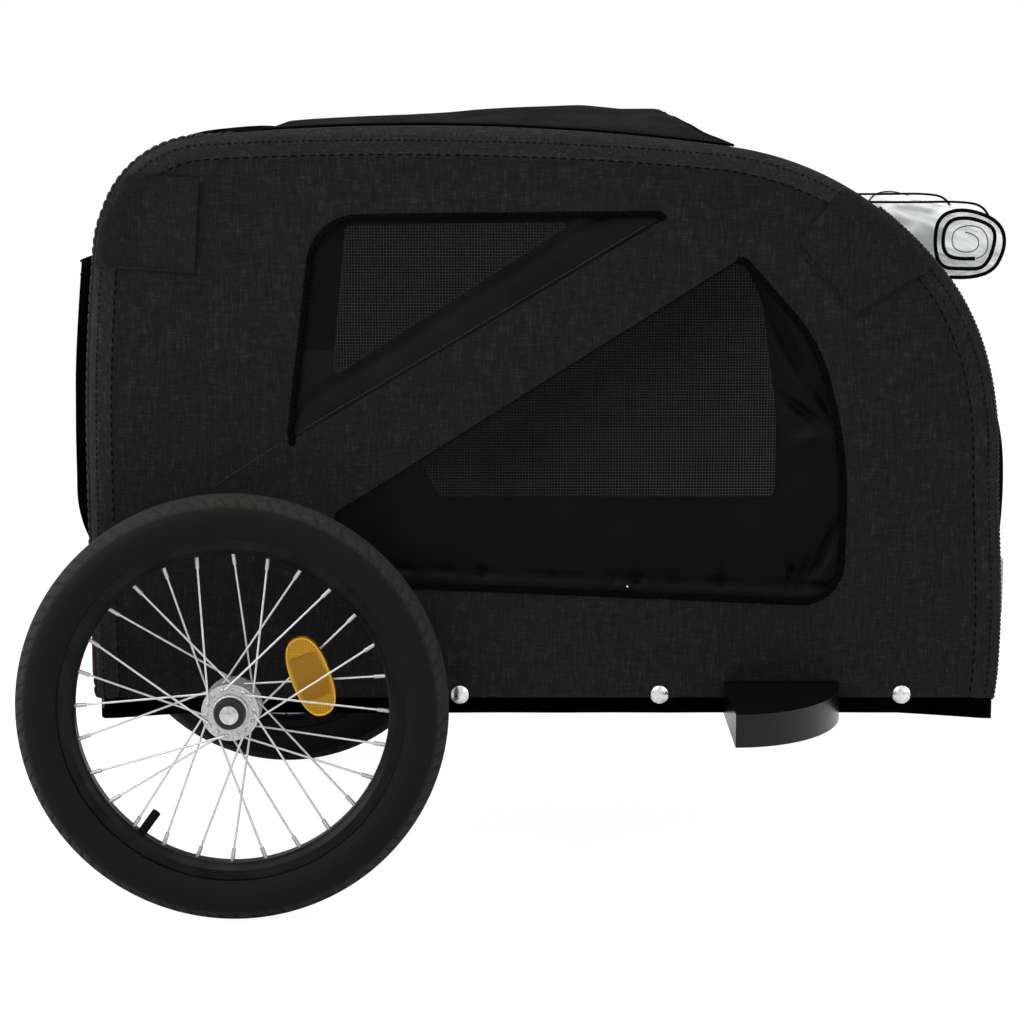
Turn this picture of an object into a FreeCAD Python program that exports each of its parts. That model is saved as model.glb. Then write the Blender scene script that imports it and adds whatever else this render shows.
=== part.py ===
import FreeCAD, Part
import math
import os

os.makedirs("parts", exist_ok=True)
V = FreeCAD.Vector

# Driving sizes in millimetres; x runs forward from the wheel axle until the last shift
TYRE_RADIUS = 200.0
TYRE_SECTION = 22.5
TYRE_WALL = 3.0
TRACK = 620.0
RIM_FLANGE = 160.0
RIM_INNER = 145.0
RIM_HALF_WIDTH = 12.5
SPOKES = 28
SPOKE_RADIUS = 1.0
SPOKE_CROSS = 2
SPOKE_PHASE = 1.0
SPOKE_RISE = 1.6
NIPPLE_RADIUS = 1.9
NIPPLE_LENGTH = 14.0
HUB_FLANGE_RADIUS = 26.5
HUB_FLANGE_WIDTH = 3.0
HUB_FLANGE_OFFSET = 17.0
HUB_HOLE_CIRCLE = 22.0
HUB_HALF_LENGTH = 21.5
HUB_LIP_RADIUS = 17.0
BEARING_RADIUS = 14.0
BEARING_WIDTH = 8.0
AXLE_RADIUS = 6.0
AXLE_GRIP = 66.0
AXLE_HEAD_RADIUS = 13.7
BUTTON_RADIUS = 8.6
BUTTON_TRAVEL = 4.0
REFLECTOR_LENGTH = 80.0
REFLECTOR_HEIGHT = 40.6
REFLECTOR_DEPTH = 9.6
REFLECTOR_CIRCLE = 79.0
REFLECTOR_ANGLE = 22.6
REFLECTOR_TILT = 20.0
REFLECTOR_SINK = 1.2
REFLECTOR_FIELD_WIDTH = 28.0
REFLECTOR_FIELD_LENGTH = 38.0
VALVE_ANGLE = 234.0
VALVE_RADIUS = 4.2
VALVE_TIP = 121.5

CABIN_WIDTH = 510.0
REAR_X = -131.0
FRONT_X = 711.0
ROOF_CREST = 730.5
ROOF_X = 172.0
ROOF_RADIUS = 2150.0
REAR_CORNER = 112.0
FRONT_CORNER = 292.0
FABRIC = 2.4
DRAWN_LENGTH = 842.0
DRAWN_HEIGHT = 532.5
HEM_Z = 198.0
SKIRT_Z = 183.0
SEAM_CORD = 1.6
WINDOW_CORD = 2.4

RAIL_RADIUS = 12.5
RAIL_WALL = 1.5
RAIL_Z = 200.0
ARCH_RADIUS = 9.5
ARCH_WALL = 1.5
BRACE_RADIUS = 8.0
BRACE_WALL = 1.4
BRACE_SLOPE = 0.628
BRACE_RISE = 357.0
BEAM_RADIUS = 9.5
SPIGOT_LENGTH = 30.0
FLOOR_THICKNESS = 5.0
CROSS_X = (190.0, 575.0)
BAR_REAR_ANGLE = 140.0
BAR_MID_X = 225.0
BAR_FRONT_ANGLE = 54.0
BOLT_RADIUS = 3.0
SCREW_X = (209.0, 397.0, 625.0)
SCREW_Z = 201.0
SCREW_HEAD = 9.0

FLAP_REAR = 28.0
FLAP_FRONT = 436.0
FLAP_HALF = 238.0
ROOF_HOLE = (70.0, 395.0, 185.0)
ROOF_CUT = 90.0
DOOR_CUT = 150.0
DOOR_HALF = 198.0
DOOR_BOTTOM = 240.0
DOOR_TOP = 546.0
DOOR_BORDER = 36.0
POCKET_HALF = 230.0
POCKET_BOTTOM = 337.0
POCKET_TOP = 607.0
POCKET_DEPTH = 22.0
ROLL_RADIUS = 33.0
ROLL_ANGLE = 38.7
ROLL_SHEET = 3.0
ROLL_PITCH = 8.5
ROLL_HALF = 246.0
TIE_RADIUS = 1.2
TIE_Y = (-115.0, 115.0)
TIE_ABOVE = 14.6
TIE_BELOW = 8.0
GUARD_REAR = 457.0
GUARD_LENGTH = 108.0
GUARD_REACH = 145.0
GUARD_BOTTOM = 184.0
GUARD_HEIGHT = 30.0
GUARD_WALL = 3.0
GUARD_BOLT_X = (482.0, 532.0)
GUARD_BOLT_Z = 203.0
LAMP_FRONT = (40.0, 53.0, 8.0)
LAMP_FRONT_Z = 302.0
LAMP_REAR = (62.0, 38.0, 9.0)
LAMP_REAR_Y = 200.0
LAMP_REAR_Z = 232.0
LAMP_CORNER = 6.0
TOW_BORE = 12.9
TOW_WALL = 3.0
TOW_Y = 196.0
TOW_Z = 166.0
TOW_REAR = 560.0
TOW_FRONT = 712.0
TOW_PIN_RADIUS = 4.1
TOW_PIN_X = 635.0

# Named fits
SEW_GAP = 0.3
WELD_GAP = 0.15
PRESS_GAP = 0.1
RUN_GAP = 0.05
SLIDE_GAP = 0.2
ZIP_GAP = 1.5

HALF = CABIN_WIDTH / 2
HALF_IN = HALF - FABRIC
WRAP_HALF = HALF_IN - SEW_GAP
TUBE_INSET = FABRIC + SEW_GAP + RAIL_RADIUS
RAIL_Y = HALF_IN - SEW_GAP - RAIL_RADIUS
LEG_REAR = REAR_X + TUBE_INSET
LEG_FRONT = FRONT_X - TUBE_INSET
WHEEL_Y = TRACK / 2
FRONT_REACH = FRONT_X + LAMP_FRONT[2] + SEW_GAP
SHIFT = -(FRONT_REACH - TYRE_RADIUS) / 2


def save(name, solids):
    """Writes one node, moved so that the origin is under the middle of the overall box."""
    shape = Part.makeCompound(solids) if len(solids) > 1 else solids[0].copy()
    shape.translate(V(SHIFT, 0, 0))
    shape.exportStep("parts/" + name + ".step")


def mirrored(solids):
    """The same solids on the left side."""
    return [s.mirror(V(0, 0, 0), V(0, 1, 0)) for s in solids]


def both_sides(stem, solids):
    """Right and left nodes from the right-hand solids."""
    save(stem + "_right", solids)
    save(stem + "_left", mirrored(solids))


def box(x0, x1, y0, y1, z0, z1):
    return Part.makeBox(x1 - x0, y1 - y0, z1 - z0, V(x0, y0, z0))


def bar_x(x0, x1, y, z, r):
    return Part.makeCylinder(r, x1 - x0, V(x0, y, z), V(1, 0, 0))


def bar_y(y0, y1, x, z, r):
    return Part.makeCylinder(r, y1 - y0, V(x, y0, z), V(0, 1, 0))


def bar_z(z0, z1, x, y, r):
    return Part.makeCylinder(r, z1 - z0, V(x, y, z0), V(0, 0, 1))


def arc(p, q, r):
    return Part.Arc(p, q, r).toShape()


def line(p, q):
    return Part.makeLine(p, q)


def face_of(edges):
    return Part.Face(Part.Wire(Part.__sortEdges__(edges)))


# Side outline: two uprights, two corners and a shallow roof arc, all tangent

ROOF_Z = ROOF_CREST - ROOF_RADIUS
REAR_CX = REAR_X + REAR_CORNER
REAR_CZ = ROOF_Z + math.sqrt((ROOF_RADIUS - REAR_CORNER) ** 2 - (REAR_CX - ROOF_X) ** 2)
FRONT_CX = FRONT_X - FRONT_CORNER
FRONT_CZ = ROOF_Z + math.sqrt((ROOF_RADIUS - FRONT_CORNER) ** 2 - (FRONT_CX - ROOF_X) ** 2)
REAR_A = math.degrees(math.atan2(REAR_CZ - ROOF_Z, REAR_CX - ROOF_X))
FRONT_A = math.degrees(math.atan2(FRONT_CZ - ROOF_Z, FRONT_CX - ROOF_X))


def at(cx, cz, r, angle, y):
    a = math.radians(angle)
    return V(cx + r * math.cos(a), y, cz + r * math.sin(a))


def roof_z(x, inset=0.0):
    return ROOF_Z + math.sqrt((ROOF_RADIUS - inset) ** 2 - (x - ROOF_X) ** 2)


def rear_edges(inset, y, z):
    r = REAR_CORNER - inset
    top = at(REAR_CX, REAR_CZ, r, 180, y)
    corner = arc(top, at(REAR_CX, REAR_CZ, r, (180 + REAR_A) / 2, y), at(REAR_CX, REAR_CZ, r, REAR_A, y))
    return [line(V(REAR_X + inset, y, z), top), corner]


def roof_edges(inset, y):
    r = ROOF_RADIUS - inset
    mid = (REAR_A + FRONT_A) / 2
    points = [at(ROOF_X, ROOF_Z, r, a, y) for a in (REAR_A, mid, FRONT_A)]
    return [arc(*points)]


def front_edges(inset, y, z):
    r = FRONT_CORNER - inset
    low = at(FRONT_CX, FRONT_CZ, r, 0, y)
    corner = arc(at(FRONT_CX, FRONT_CZ, r, FRONT_A, y), at(FRONT_CX, FRONT_CZ, r, FRONT_A / 2, y), low)
    return [corner, line(low, V(FRONT_X - inset, y, z))]


def side_edges(inset, y, z):
    return rear_edges(inset, y, z) + roof_edges(inset, y) + front_edges(inset, y, z)


def ends(edges):
    """First and last point of a chain of edges that runs from the rear to the front."""
    return edges[0].Vertexes[0].Point, edges[-1].Vertexes[-1].Point


def wrap(maker, inset, depth, half):
    """A strip of the cover that follows part of the side outline across the cabin."""
    outer = maker(inset, -half)
    inner = maker(inset + depth, -half)
    a, b = ends(outer)
    c, d = ends(inner)
    face = face_of(outer + inner + [line(a, c), line(b, d)])
    return face.extrude(V(0, 2 * half, 0))


def rear_strip(inset, y):
    return rear_edges(inset, y, HEM_Z)


def front_strip(inset, y):
    return front_edges(inset, y, HEM_Z)


def sweep(edges, radius):
    """A round cord or tube along a flat chain of edges."""
    path = Part.Wire(Part.__sortEdges__(edges))
    start = path.Edges[0]
    point = start.valueAt(start.FirstParameter)
    along = start.tangentAt(start.FirstParameter)
    if point.distanceToPoint(path.OrderedVertexes[0].Point) > 1e-6:
        point = start.valueAt(start.LastParameter)
        along = start.tangentAt(start.LastParameter) * -1
    ring = Part.Wire([Part.makeCircle(radius, point, along)])
    return path.makePipeShell([ring], True, False)


def rounded(points, y):
    """Closed flat outline from (x, z, corner radius) points."""
    edges = []
    count = len(points)
    tangents = []
    for i in range(count):
        px, pz, r = points[i]
        p = V(px, y, pz)
        a = V(points[i - 1][0], y, points[i - 1][1]) - p
        b = V(points[(i + 1) % count][0], y, points[(i + 1) % count][1]) - p
        a.normalize()
        b.normalize()
        half = a.getAngle(b) / 2
        reach = r / math.tan(half)
        bis = a + b
        bis.normalize()
        centre = p + bis * (r / math.sin(half))
        tangents.append((p + a * reach, centre - bis * r, p + b * reach))
    for i in range(count):
        a, m, b = tangents[i]
        edges.append(arc(a, m, b))
        edges.append(line(b, tangents[(i + 1) % count][0]))
    return edges


def plate(points, y, depth):
    return face_of(rounded(points, y)).extrude(V(0, depth, 0))


def shrunk(points, gap, y, depth):
    """The same rounded outline drawn in by a gap, as a plate."""
    return face_of(rounded(points, y)).makeOffset2D(-gap).extrude(V(0, depth, 0))


# Window openings and patches, drawn from the rear bottom corner of a panel of the drawn size

def drawn(points):
    """Carries (x, z, corner) points from the drawn panel to the real one."""
    kx = (FRONT_X - REAR_X) / DRAWN_LENGTH
    kz = (ROOF_CREST - HEM_Z) / DRAWN_HEIGHT
    return [(REAR_X + x * kx, HEM_Z + z * kz, r * min(kx, kz)) for x, z, r in points]


UPPER_WINDOW = drawn(((180, 236, 5), (205.5, 450, 48), (533, 450, 5)))
LOWER_WINDOW = ((215, 108, 16), (702, 86, 40), (700, 232, 400), (676, 337, 150), (603, 415, 6), (224, 176, 6))
LOWER_WINDOW = drawn(LOWER_WINDOW)
UPPER_MESH = drawn(((222, 302, 5), (236, 440, 5), (442, 442, 5)))
LOWER_MESH = ((321, 191, 6), (634, 191, 8), (634, 272, 150), (620, 372, 40), (602, 406, 4), (308, 221, 4))
LOWER_MESH = drawn(LOWER_MESH)
REAR_PATCH = drawn(((-9, 492, 2), (103, 486, 3), (97, 399, 3), (-9, 405, 2)))
FRONT_PATCH = drawn(((649, 425, 3), (706, 492, 2), (779, 406, 2), (707, 359, 3)))


# Base frame: two rails, cross tubes and corner blocks that plug into the tube ends

def tube_x(x0, x1, y, z, r, wall):
    return bar_x(x0, x1, y, z, r).cut(bar_x(x0 - 1, x1 + 1, y, z, r - wall))


def tube_y(y0, y1, x, z, r, wall):
    return bar_y(y0, y1, x, z, r).cut(bar_y(y0 - 1, y1 + 1, x, z, r - wall))


BLOCK = RAIL_RADIUS + PRESS_GAP
rail_x0 = LEG_REAR + BLOCK + PRESS_GAP
rail_x1 = LEG_FRONT - BLOCK - PRESS_GAP
rail = tube_x(rail_x0, rail_x1, -RAIL_Y, RAIL_Z, RAIL_RADIUS, RAIL_WALL)
rail_holes = [bar_y(-HALF, -RAIL_Y + 40, 0, RAIL_Z, BEAM_RADIUS + WELD_GAP)]
for sx in SCREW_X:
    rail_holes.append(bar_y(-HALF, -RAIL_Y, sx, SCREW_Z, 2.0 + PRESS_GAP))
for gx in GUARD_BOLT_X:
    rail_holes.append(bar_y(-HALF, -RAIL_Y, gx, GUARD_BOLT_Z, BOLT_RADIUS + PRESS_GAP))
rail = rail.cut(Part.makeCompound(rail_holes))
both_sides("base_rail", [rail])

beam = tube_y(-HALF_IN + 0.6, HALF_IN - 0.6, 0, RAIL_Z, BEAM_RADIUS, BEAM_RADIUS - AXLE_RADIUS - RUN_GAP)
save("axle_beam", [beam])

cross_reach = RAIL_Y - RAIL_RADIUS - WELD_GAP
crosses = []
for cx in CROSS_X:
    tube = tube_y(-RAIL_Y, RAIL_Y, cx, RAIL_Z, RAIL_RADIUS, RAIL_WALL)
    for sy in (-RAIL_Y, RAIL_Y):
        tube = tube.cut(bar_x(cx - 40, cx + 40, sy, RAIL_Z, RAIL_RADIUS + WELD_GAP))
    crosses.append(max(tube.Solids, key=lambda s: s.Volume))
for cx in (LEG_REAR, LEG_FRONT):
    end = RAIL_Y - BLOCK - PRESS_GAP
    crosses.append(tube_y(-end, end, cx, RAIL_Z, RAIL_RADIUS, RAIL_WALL))
save("base_cross_tubes", crosses)


def corner_block(cx, inward):
    """Moulded cube with spigots for the rail, the cross tube and the arch."""
    cube = box(cx - BLOCK, cx + BLOCK, -RAIL_Y - BLOCK, -RAIL_Y + BLOCK, RAIL_Z - BLOCK, RAIL_Z + BLOCK)
    upright = [e for e in cube.Edges if abs(e.tangentAt(e.FirstParameter).z) > 0.9]
    cube = cube.makeFillet(4.0, upright)
    plug = RAIL_RADIUS - RAIL_WALL - PRESS_GAP
    x0 = cx if inward > 0 else cx - BLOCK - SPIGOT_LENGTH
    along = bar_x(x0, x0 + BLOCK + SPIGOT_LENGTH, -RAIL_Y, RAIL_Z, plug)
    across = bar_y(-RAIL_Y, -RAIL_Y + BLOCK + SPIGOT_LENGTH, cx, RAIL_Z, plug)
    up = bar_z(RAIL_Z, RAIL_Z + BLOCK + SPIGOT_LENGTH, cx, -RAIL_Y, ARCH_RADIUS - ARCH_WALL - PRESS_GAP)
    return cube.fuse([along, across, up]).removeSplitter()


blocks = [corner_block(LEG_REAR, 1), corner_block(LEG_FRONT, -1)]
save("corner_blocks", blocks + mirrored(blocks))

# Side arches, diagonal braces and roof bars
ARCH_FOOT = RAIL_Z + BLOCK + PRESS_GAP
arch_path = side_edges(TUBE_INSET, -RAIL_Y, ARCH_FOOT)
arch_full = sweep(arch_path, ARCH_RADIUS)
arch = arch_full.cut(sweep(side_edges(TUBE_INSET, -RAIL_Y, ARCH_FOOT), ARCH_RADIUS - ARCH_WALL))
BAR_POINTS = (
    at(REAR_CX, REAR_CZ, REAR_CORNER - TUBE_INSET, BAR_REAR_ANGLE, 0),
    V(BAR_MID_X, 0, roof_z(BAR_MID_X, TUBE_INSET)),
    at(FRONT_CX, FRONT_CZ, FRONT_CORNER - TUBE_INSET, BAR_FRONT_ANGLE, 0),
)
bolt_holes = [bar_y(-HALF, -RAIL_Y + 30, p.x, p.z, BOLT_RADIUS + PRESS_GAP) for p in BAR_POINTS]
arch = arch.cut(Part.makeCompound(bolt_holes))
both_sides("side_arch", [arch])


def brace_between(radius, y):
    a = V(LEG_REAR - 30, y, BRACE_RISE + BRACE_SLOPE * (LEG_REAR - 30))
    b = V(FRONT_X - DOOR_CUT, y, BRACE_RISE + BRACE_SLOPE * (FRONT_X - DOOR_CUT))
    return Part.makeCylinder(radius, (b - a).Length, a, b - a)


arch_keepout = sweep(side_edges(TUBE_INSET, -RAIL_Y, ARCH_FOOT), ARCH_RADIUS + WELD_GAP)
brace = brace_between(BRACE_RADIUS, -RAIL_Y).cut(brace_between(BRACE_RADIUS - BRACE_WALL, -RAIL_Y))
pieces = brace.cut(arch_keepout).Solids
brace = max(pieces, key=lambda s: s.Volume)
both_sides("diagonal_brace", [brace])

bar_end = RAIL_Y - ARCH_RADIUS + 2.0
bars = []
for p in BAR_POINTS:
    tube = tube_y(-RAIL_Y, RAIL_Y, p.x, p.z, ARCH_RADIUS - 1.5, ARCH_WALL)
    core = ARCH_RADIUS - 1.5 - ARCH_WALL
    plugs = [bar_y(s * (RAIL_Y - 18) - 8, s * (RAIL_Y - 18) + 8, p.x, p.z, core) for s in (-1, 1)]
    tube = tube.fuse(plugs)
    tube = tube.cut(arch_keepout).cut(arch_keepout.mirror(V(0, 0, 0), V(0, 1, 0)))
    tube = max(tube.Solids, key=lambda s: s.Volume)
    hole = BOLT_RADIUS + PRESS_GAP
    drill = [bar_y(s * (RAIL_Y - 15) - 15, s * (RAIL_Y - 15) + 15, p.x, p.z, hole) for s in (-1, 1)]
    bars.append(tube.cut(Part.makeCompound(drill)).removeSplitter())
save("roof_bars", bars)

bolts = []
for p in BAR_POINTS:
    seat = -RAIL_Y - ARCH_RADIUS
    head = bar_y(seat - 2.5, seat + 0.2, p.x, p.z, 5.5)
    shank = bar_y(seat, -RAIL_Y + 26, p.x, p.z, BOLT_RADIUS)
    bolts.append(head.cut(arch_full).fuse(shank).removeSplitter())
save("roof_bar_bolts", bolts + mirrored(bolts))

# Floor board on the rails and cross tubes, notched round the corner legs
floor_z = RAIL_Z + RAIL_RADIUS + SEW_GAP
notch = BLOCK + 3.0
fx0 = LEG_REAR - 8
fx1 = LEG_FRONT + 8
fy = RAIL_Y + 6
nx0 = LEG_REAR + notch
nx1 = LEG_FRONT - notch
ny = RAIL_Y - notch
plan = [(fx0, -ny), (nx0, -ny), (nx0, -fy), (nx1, -fy), (nx1, -ny), (fx1, -ny)]
plan = plan + [(x, -y) for x, y in reversed(plan)]
corners = [V(x, y, floor_z) for x, y in plan]
floor = Part.Face(Part.makePolygon(corners + [corners[0]])).extrude(V(0, 0, FLOOR_THICKNESS))
save("floor_board", [floor])


# Cover: base skirt, sides with windows, and the strip over rear, roof and front

def ring_plan(inset, corner):
    x0 = REAR_X + inset
    x1 = FRONT_X - inset
    y1 = HALF - inset
    solid = box(x0, x1, -y1, y1, SKIRT_Z, HEM_Z - SEW_GAP)
    upright = [e for e in solid.Edges if abs(e.tangentAt(e.FirstParameter).z) > 0.9]
    return solid.makeFillet(corner, upright)


axle_gap = AXLE_RADIUS + 1.5
skirt = ring_plan(0, 3.4).cut(ring_plan(FABRIC, 1.0))
skirt = skirt.cut(bar_y(-HALF - 5, HALF + 5, 0, RAIL_Z, axle_gap))
save("base_skirt", [skirt])

panel_face = face_of(side_edges(0, -HALF, HEM_Z) + [line(V(REAR_X, -HALF, HEM_Z), V(FRONT_X, -HALF, HEM_Z))])
panel_blank = panel_face.extrude(V(0, FABRIC, 0))
panel = panel_blank.cut(plate(UPPER_WINDOW, -HALF - 1, FABRIC + 2))
panel = panel.cut(plate(LOWER_WINDOW, -HALF - 1, FABRIC + 2))
small_holes = [bar_y(-HALF - 1, -HALF_IN + 1, 0, RAIL_Z, axle_gap)]
for sx in SCREW_X:
    small_holes.append(bar_y(-HALF - 1, -HALF_IN + 1, sx, SCREW_Z, 2.0 + PRESS_GAP))
for gx in GUARD_BOLT_X:
    small_holes.append(bar_y(-HALF - 1, -HALF_IN + 1, gx, GUARD_BOLT_Z, BOLT_RADIUS + PRESS_GAP))
panel = panel.cut(Part.makeCompound(small_holes))
both_sides("side_panel", [panel])

border_y = -HALF + 0.5
border_t = 1.4
upper_border = shrunk(UPPER_WINDOW, SEW_GAP, border_y, border_t).cut(plate(UPPER_MESH, border_y - 1, 4))
lower_border = shrunk(LOWER_WINDOW, SEW_GAP, border_y, border_t).cut(plate(LOWER_MESH, border_y - 1, 4))
both_sides("window_border", [upper_border, lower_border])
mesh_y = border_y + 0.3
upper_mesh = shrunk(UPPER_MESH, SEW_GAP, mesh_y, 0.8)
lower_mesh = shrunk(LOWER_MESH, SEW_GAP, mesh_y, 0.8)
both_sides("window_mesh", [upper_mesh, lower_mesh])

cord_y = -HALF - WINDOW_CORD - PRESS_GAP
upper_cord = rounded(UPPER_WINDOW, cord_y)[1:4]
lower_cord = rounded(LOWER_WINDOW, cord_y)[0:8]
cords = [sweep(upper_cord, WINDOW_CORD), sweep(lower_cord, WINDOW_CORD)]
save("window_piping", cords + mirrored(cords))

seam = sweep(side_edges(-SEAM_CORD - SLIDE_GAP, -HALF + FABRIC / 2, HEM_Z), SEAM_CORD)
save("seam_piping", [seam] + mirrored([seam]))

rear_panel = wrap(rear_strip, 0, FABRIC, WRAP_HALF)
save("rear_panel", [rear_panel])
roof = wrap(roof_edges, 0, FABRIC, WRAP_HALF)
hx0, hx1, hy = ROOF_HOLE
roof = roof.cut(box(hx0, hx1, -hy, hy, ROOF_CREST - ROOF_CUT, ROOF_CREST + ROOF_CUT))
save("roof_panel", [roof])
roof_net = wrap(roof_edges, 0.8, 0.8, WRAP_HALF)
net_y = hy - SEW_GAP
net_room = box(hx0 + SEW_GAP, hx1 - SEW_GAP, -net_y, net_y, ROOF_CREST - ROOF_CUT, ROOF_CREST + ROOF_CUT)
roof_net = roof_net.common(net_room)
save("roof_mesh", [roof_net])

front = wrap(front_strip, 0, FABRIC, WRAP_HALF)
door_x0 = FRONT_X - DOOR_CUT
door_x1 = FRONT_X + FABRIC
door_hole = box(door_x0, door_x1, -DOOR_HALF, DOOR_HALF, DOOR_BOTTOM, DOOR_TOP)
save("front_panel", [front.cut(door_hole)])
dh = DOOR_HALF - ZIP_GAP
door = front.common(box(door_x0, door_x1, -dh, dh, DOOR_BOTTOM + ZIP_GAP, DOOR_TOP - SEW_GAP * 2))
mh = dh - DOOR_BORDER
mz0 = DOOR_BOTTOM + ZIP_GAP + DOOR_BORDER
mz1 = DOOR_TOP - DOOR_BORDER
door = door.cut(box(door_x0, door_x1, -mh, mh, mz0, mz1))
save("front_door_border", [door])
door_net = wrap(front_strip, 0.8, 0.8, WRAP_HALF)
net_box = box(door_x0, door_x1, -mh + SEW_GAP, mh - SEW_GAP, mz0 + SEW_GAP, mz1 - SEW_GAP)
save("front_door_mesh", [door_net.common(net_box)])

# Corner patches sewn over the bar ends
patches = []
for shape in (REAR_PATCH, FRONT_PATCH):
    blank = panel_face.copy()
    blank.translate(V(0, -1.2, 0))
    patches.append(blank.extrude(V(0, 1.2, 0)).common(plate(shape, -HALF - 3, 6)))
save("corner_patches", patches + mirrored(patches))

# Rear pocket: a bowed sheet with two gussets, open at the top
px = REAR_X - SLIDE_GAP
low = V(px, -POCKET_HALF, POCKET_BOTTOM)
mid = V(px - POCKET_DEPTH, -POCKET_HALF, POCKET_BOTTOM + 0.55 * (POCKET_TOP - POCKET_BOTTOM))
top = V(px - 0.72 * POCKET_DEPTH, -POCKET_HALF, POCKET_TOP)
cloth = 1.8
low_in = V(px, -POCKET_HALF, POCKET_BOTTOM + 11)
mid_in = mid + V(cloth, 0, 0)
top_in = top + V(cloth, 0, 0)
sheet = face_of([arc(low, mid, top), line(top, top_in), arc(top_in, mid_in, low_in), line(low_in, low)])
sheet = sheet.extrude(V(0, 2 * POCKET_HALF, 0))
back = V(px, -POCKET_HALF, POCKET_TOP)
gusset = face_of([arc(low, mid, top), line(top, back), line(back, low)]).extrude(V(0, cloth, 0))
gusset_far = gusset.copy()
gusset_far.translate(V(0, 2 * POCKET_HALF - cloth, 0))
save("rear_pocket", [sheet.fuse([gusset, gusset_far]).removeSplitter()])

# Roof flap: a sheet that rises in a crown towards its free front edge
FLAP_STATIONS = 16
CROWN_TOP = 25.0
CROWN_EDGE = 12.0


def flap_crown(x):
    """Height of the crown at mid width: a slow rise from the seam, then a short drop to the free edge."""
    t = (x - FLAP_REAR) / (FLAP_FRONT - FLAP_REAR)
    if t < 0.9:
        return 1.0 + (CROWN_TOP - 1.0) * math.sin(math.pi / 2 * t / 0.9) ** 2.4
    return CROWN_TOP - (CROWN_TOP - CROWN_EDGE) * ((t - 0.9) / 0.1) ** 2


sections = []
for k in range(FLAP_STATIONS + 1):
    t = k / FLAP_STATIONS
    x = FLAP_REAR + (FLAP_FRONT - FLAP_REAR) * t
    base = roof_z(x) + 0.6
    under = [V(x, -FLAP_HALF, base), V(x, 0, base + flap_crown(x)), V(x, FLAP_HALF, base)]
    over = [p + V(0, 0, FABRIC) for p in under]
    edges = [arc(*under), line(under[2], over[2]), arc(*reversed(over)), line(over[0], under[0])]
    sections.append(Part.Wire(Part.__sortEdges__(edges)))
save("roof_flap", [Part.makeLoft(sections, True, True)])

# Rolled rain cover: a spiral of half circles, tied to the front by two elastic cords
roll_c = at(FRONT_CX, FRONT_CZ, FRONT_CORNER + 0.8 + ROLL_RADIUS, ROLL_ANGLE, 0)
TURNS = 5
outer = []
inner = []
cx = 0.0
for k in range(TURNS):
    r = ROLL_RADIUS - k * ROLL_PITCH / 2
    side = 1 if k % 2 == 0 else -1
    for chain, rr in ((outer, r), (inner, r - ROLL_SHEET)):
        a = V(cx + side * rr, -ROLL_HALF, 0)
        m = V(cx, -ROLL_HALF, side * rr)
        b = V(cx - side * rr, -ROLL_HALF, 0)
        chain.append((a, m, b))
    cx = cx - side * ROLL_PITCH / 2
edges = [arc(*t) for t in outer] + [arc(*t) for t in inner]
edges.append(line(outer[0][0], inner[0][0]))
edges.append(line(outer[-1][2], inner[-1][2]))
roll = face_of(edges).extrude(V(0, 2 * ROLL_HALF, 0))
roll.rotate(V(0, 0, 0), V(0, 1, 0), 180 - ROLL_ANGLE)
roll.translate(roll_c)
save("rain_cover_roll", [roll])


def tangent_point(p, c, r, side):
    d = math.hypot(p.x - c.x, p.z - c.z)
    to_p = math.degrees(math.atan2(p.z - c.z, p.x - c.x))
    return at(c.x, c.z, r, to_p + side * math.degrees(math.acos(r / d)), p.y)


ties = []
for y in TIE_Y:
    c = V(roll_c.x, y, roll_c.z)
    wrap_r = ROLL_RADIUS + TIE_RADIUS + 0.4
    foot = FRONT_CORNER + TIE_RADIUS + SLIDE_GAP
    high = at(FRONT_CX, FRONT_CZ, foot, ROLL_ANGLE + TIE_ABOVE, y)
    lower = at(FRONT_CX, FRONT_CZ, foot, ROLL_ANGLE - TIE_BELOW, y)
    t0 = tangent_point(high, c, wrap_r, -1)
    t1 = tangent_point(lower, c, wrap_r, 1)
    crown = at(c.x, c.z, wrap_r, ROLL_ANGLE, y)
    ties.append(sweep([line(high, t0), arc(t0, crown, t1), line(t1, lower)], TIE_RADIUS))
save("roll_ties", ties)


# Reflectors on the front and rear covers

def lamp(size, x, y, z, sign):
    width, height, depth = size
    x0 = x if sign > 0 else x - depth
    body = box(x0, x0 + depth, y - width / 2, y + width / 2, z - height / 2, z + height / 2)
    flat = [e for e in body.Edges if abs(e.tangentAt(e.FirstParameter).x) > 0.9]
    return body.makeFillet(LAMP_CORNER, flat)


front_lamp = lamp(LAMP_FRONT, FRONT_X + SEW_GAP, -(DOOR_HALF + HALF) / 2, LAMP_FRONT_Z, 1)
save("front_reflectors", [front_lamp] + mirrored([front_lamp]))
rear_lamp = lamp(LAMP_REAR, REAR_X - SEW_GAP, -LAMP_REAR_Y, LAMP_REAR_Z, -1)
save("rear_reflectors", [rear_lamp] + mirrored([rear_lamp]))


# Wheel guards: a half-moon shell, open below, bolted through the cover to the rail

def moon(inset, z0, z1, y0):
    major = GUARD_REACH - inset
    minor = GUARD_LENGTH - 2 * inset
    if major > minor:
        curve = Part.Ellipse(V(0, -major, 0), V(minor, 0, 0), V(0, 0, 0))
    edge = curve.toShape()
    full = Part.Face(Part.Wire([edge])).extrude(V(0, 0, z1 - z0))
    quarter = full.common(box(0, minor + 1, -major - 1, y0, -1, z1 - z0 + 1))
    quarter.translate(V(GUARD_REAR + inset, -HALF - PRESS_GAP, z0))
    return quarter


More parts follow.
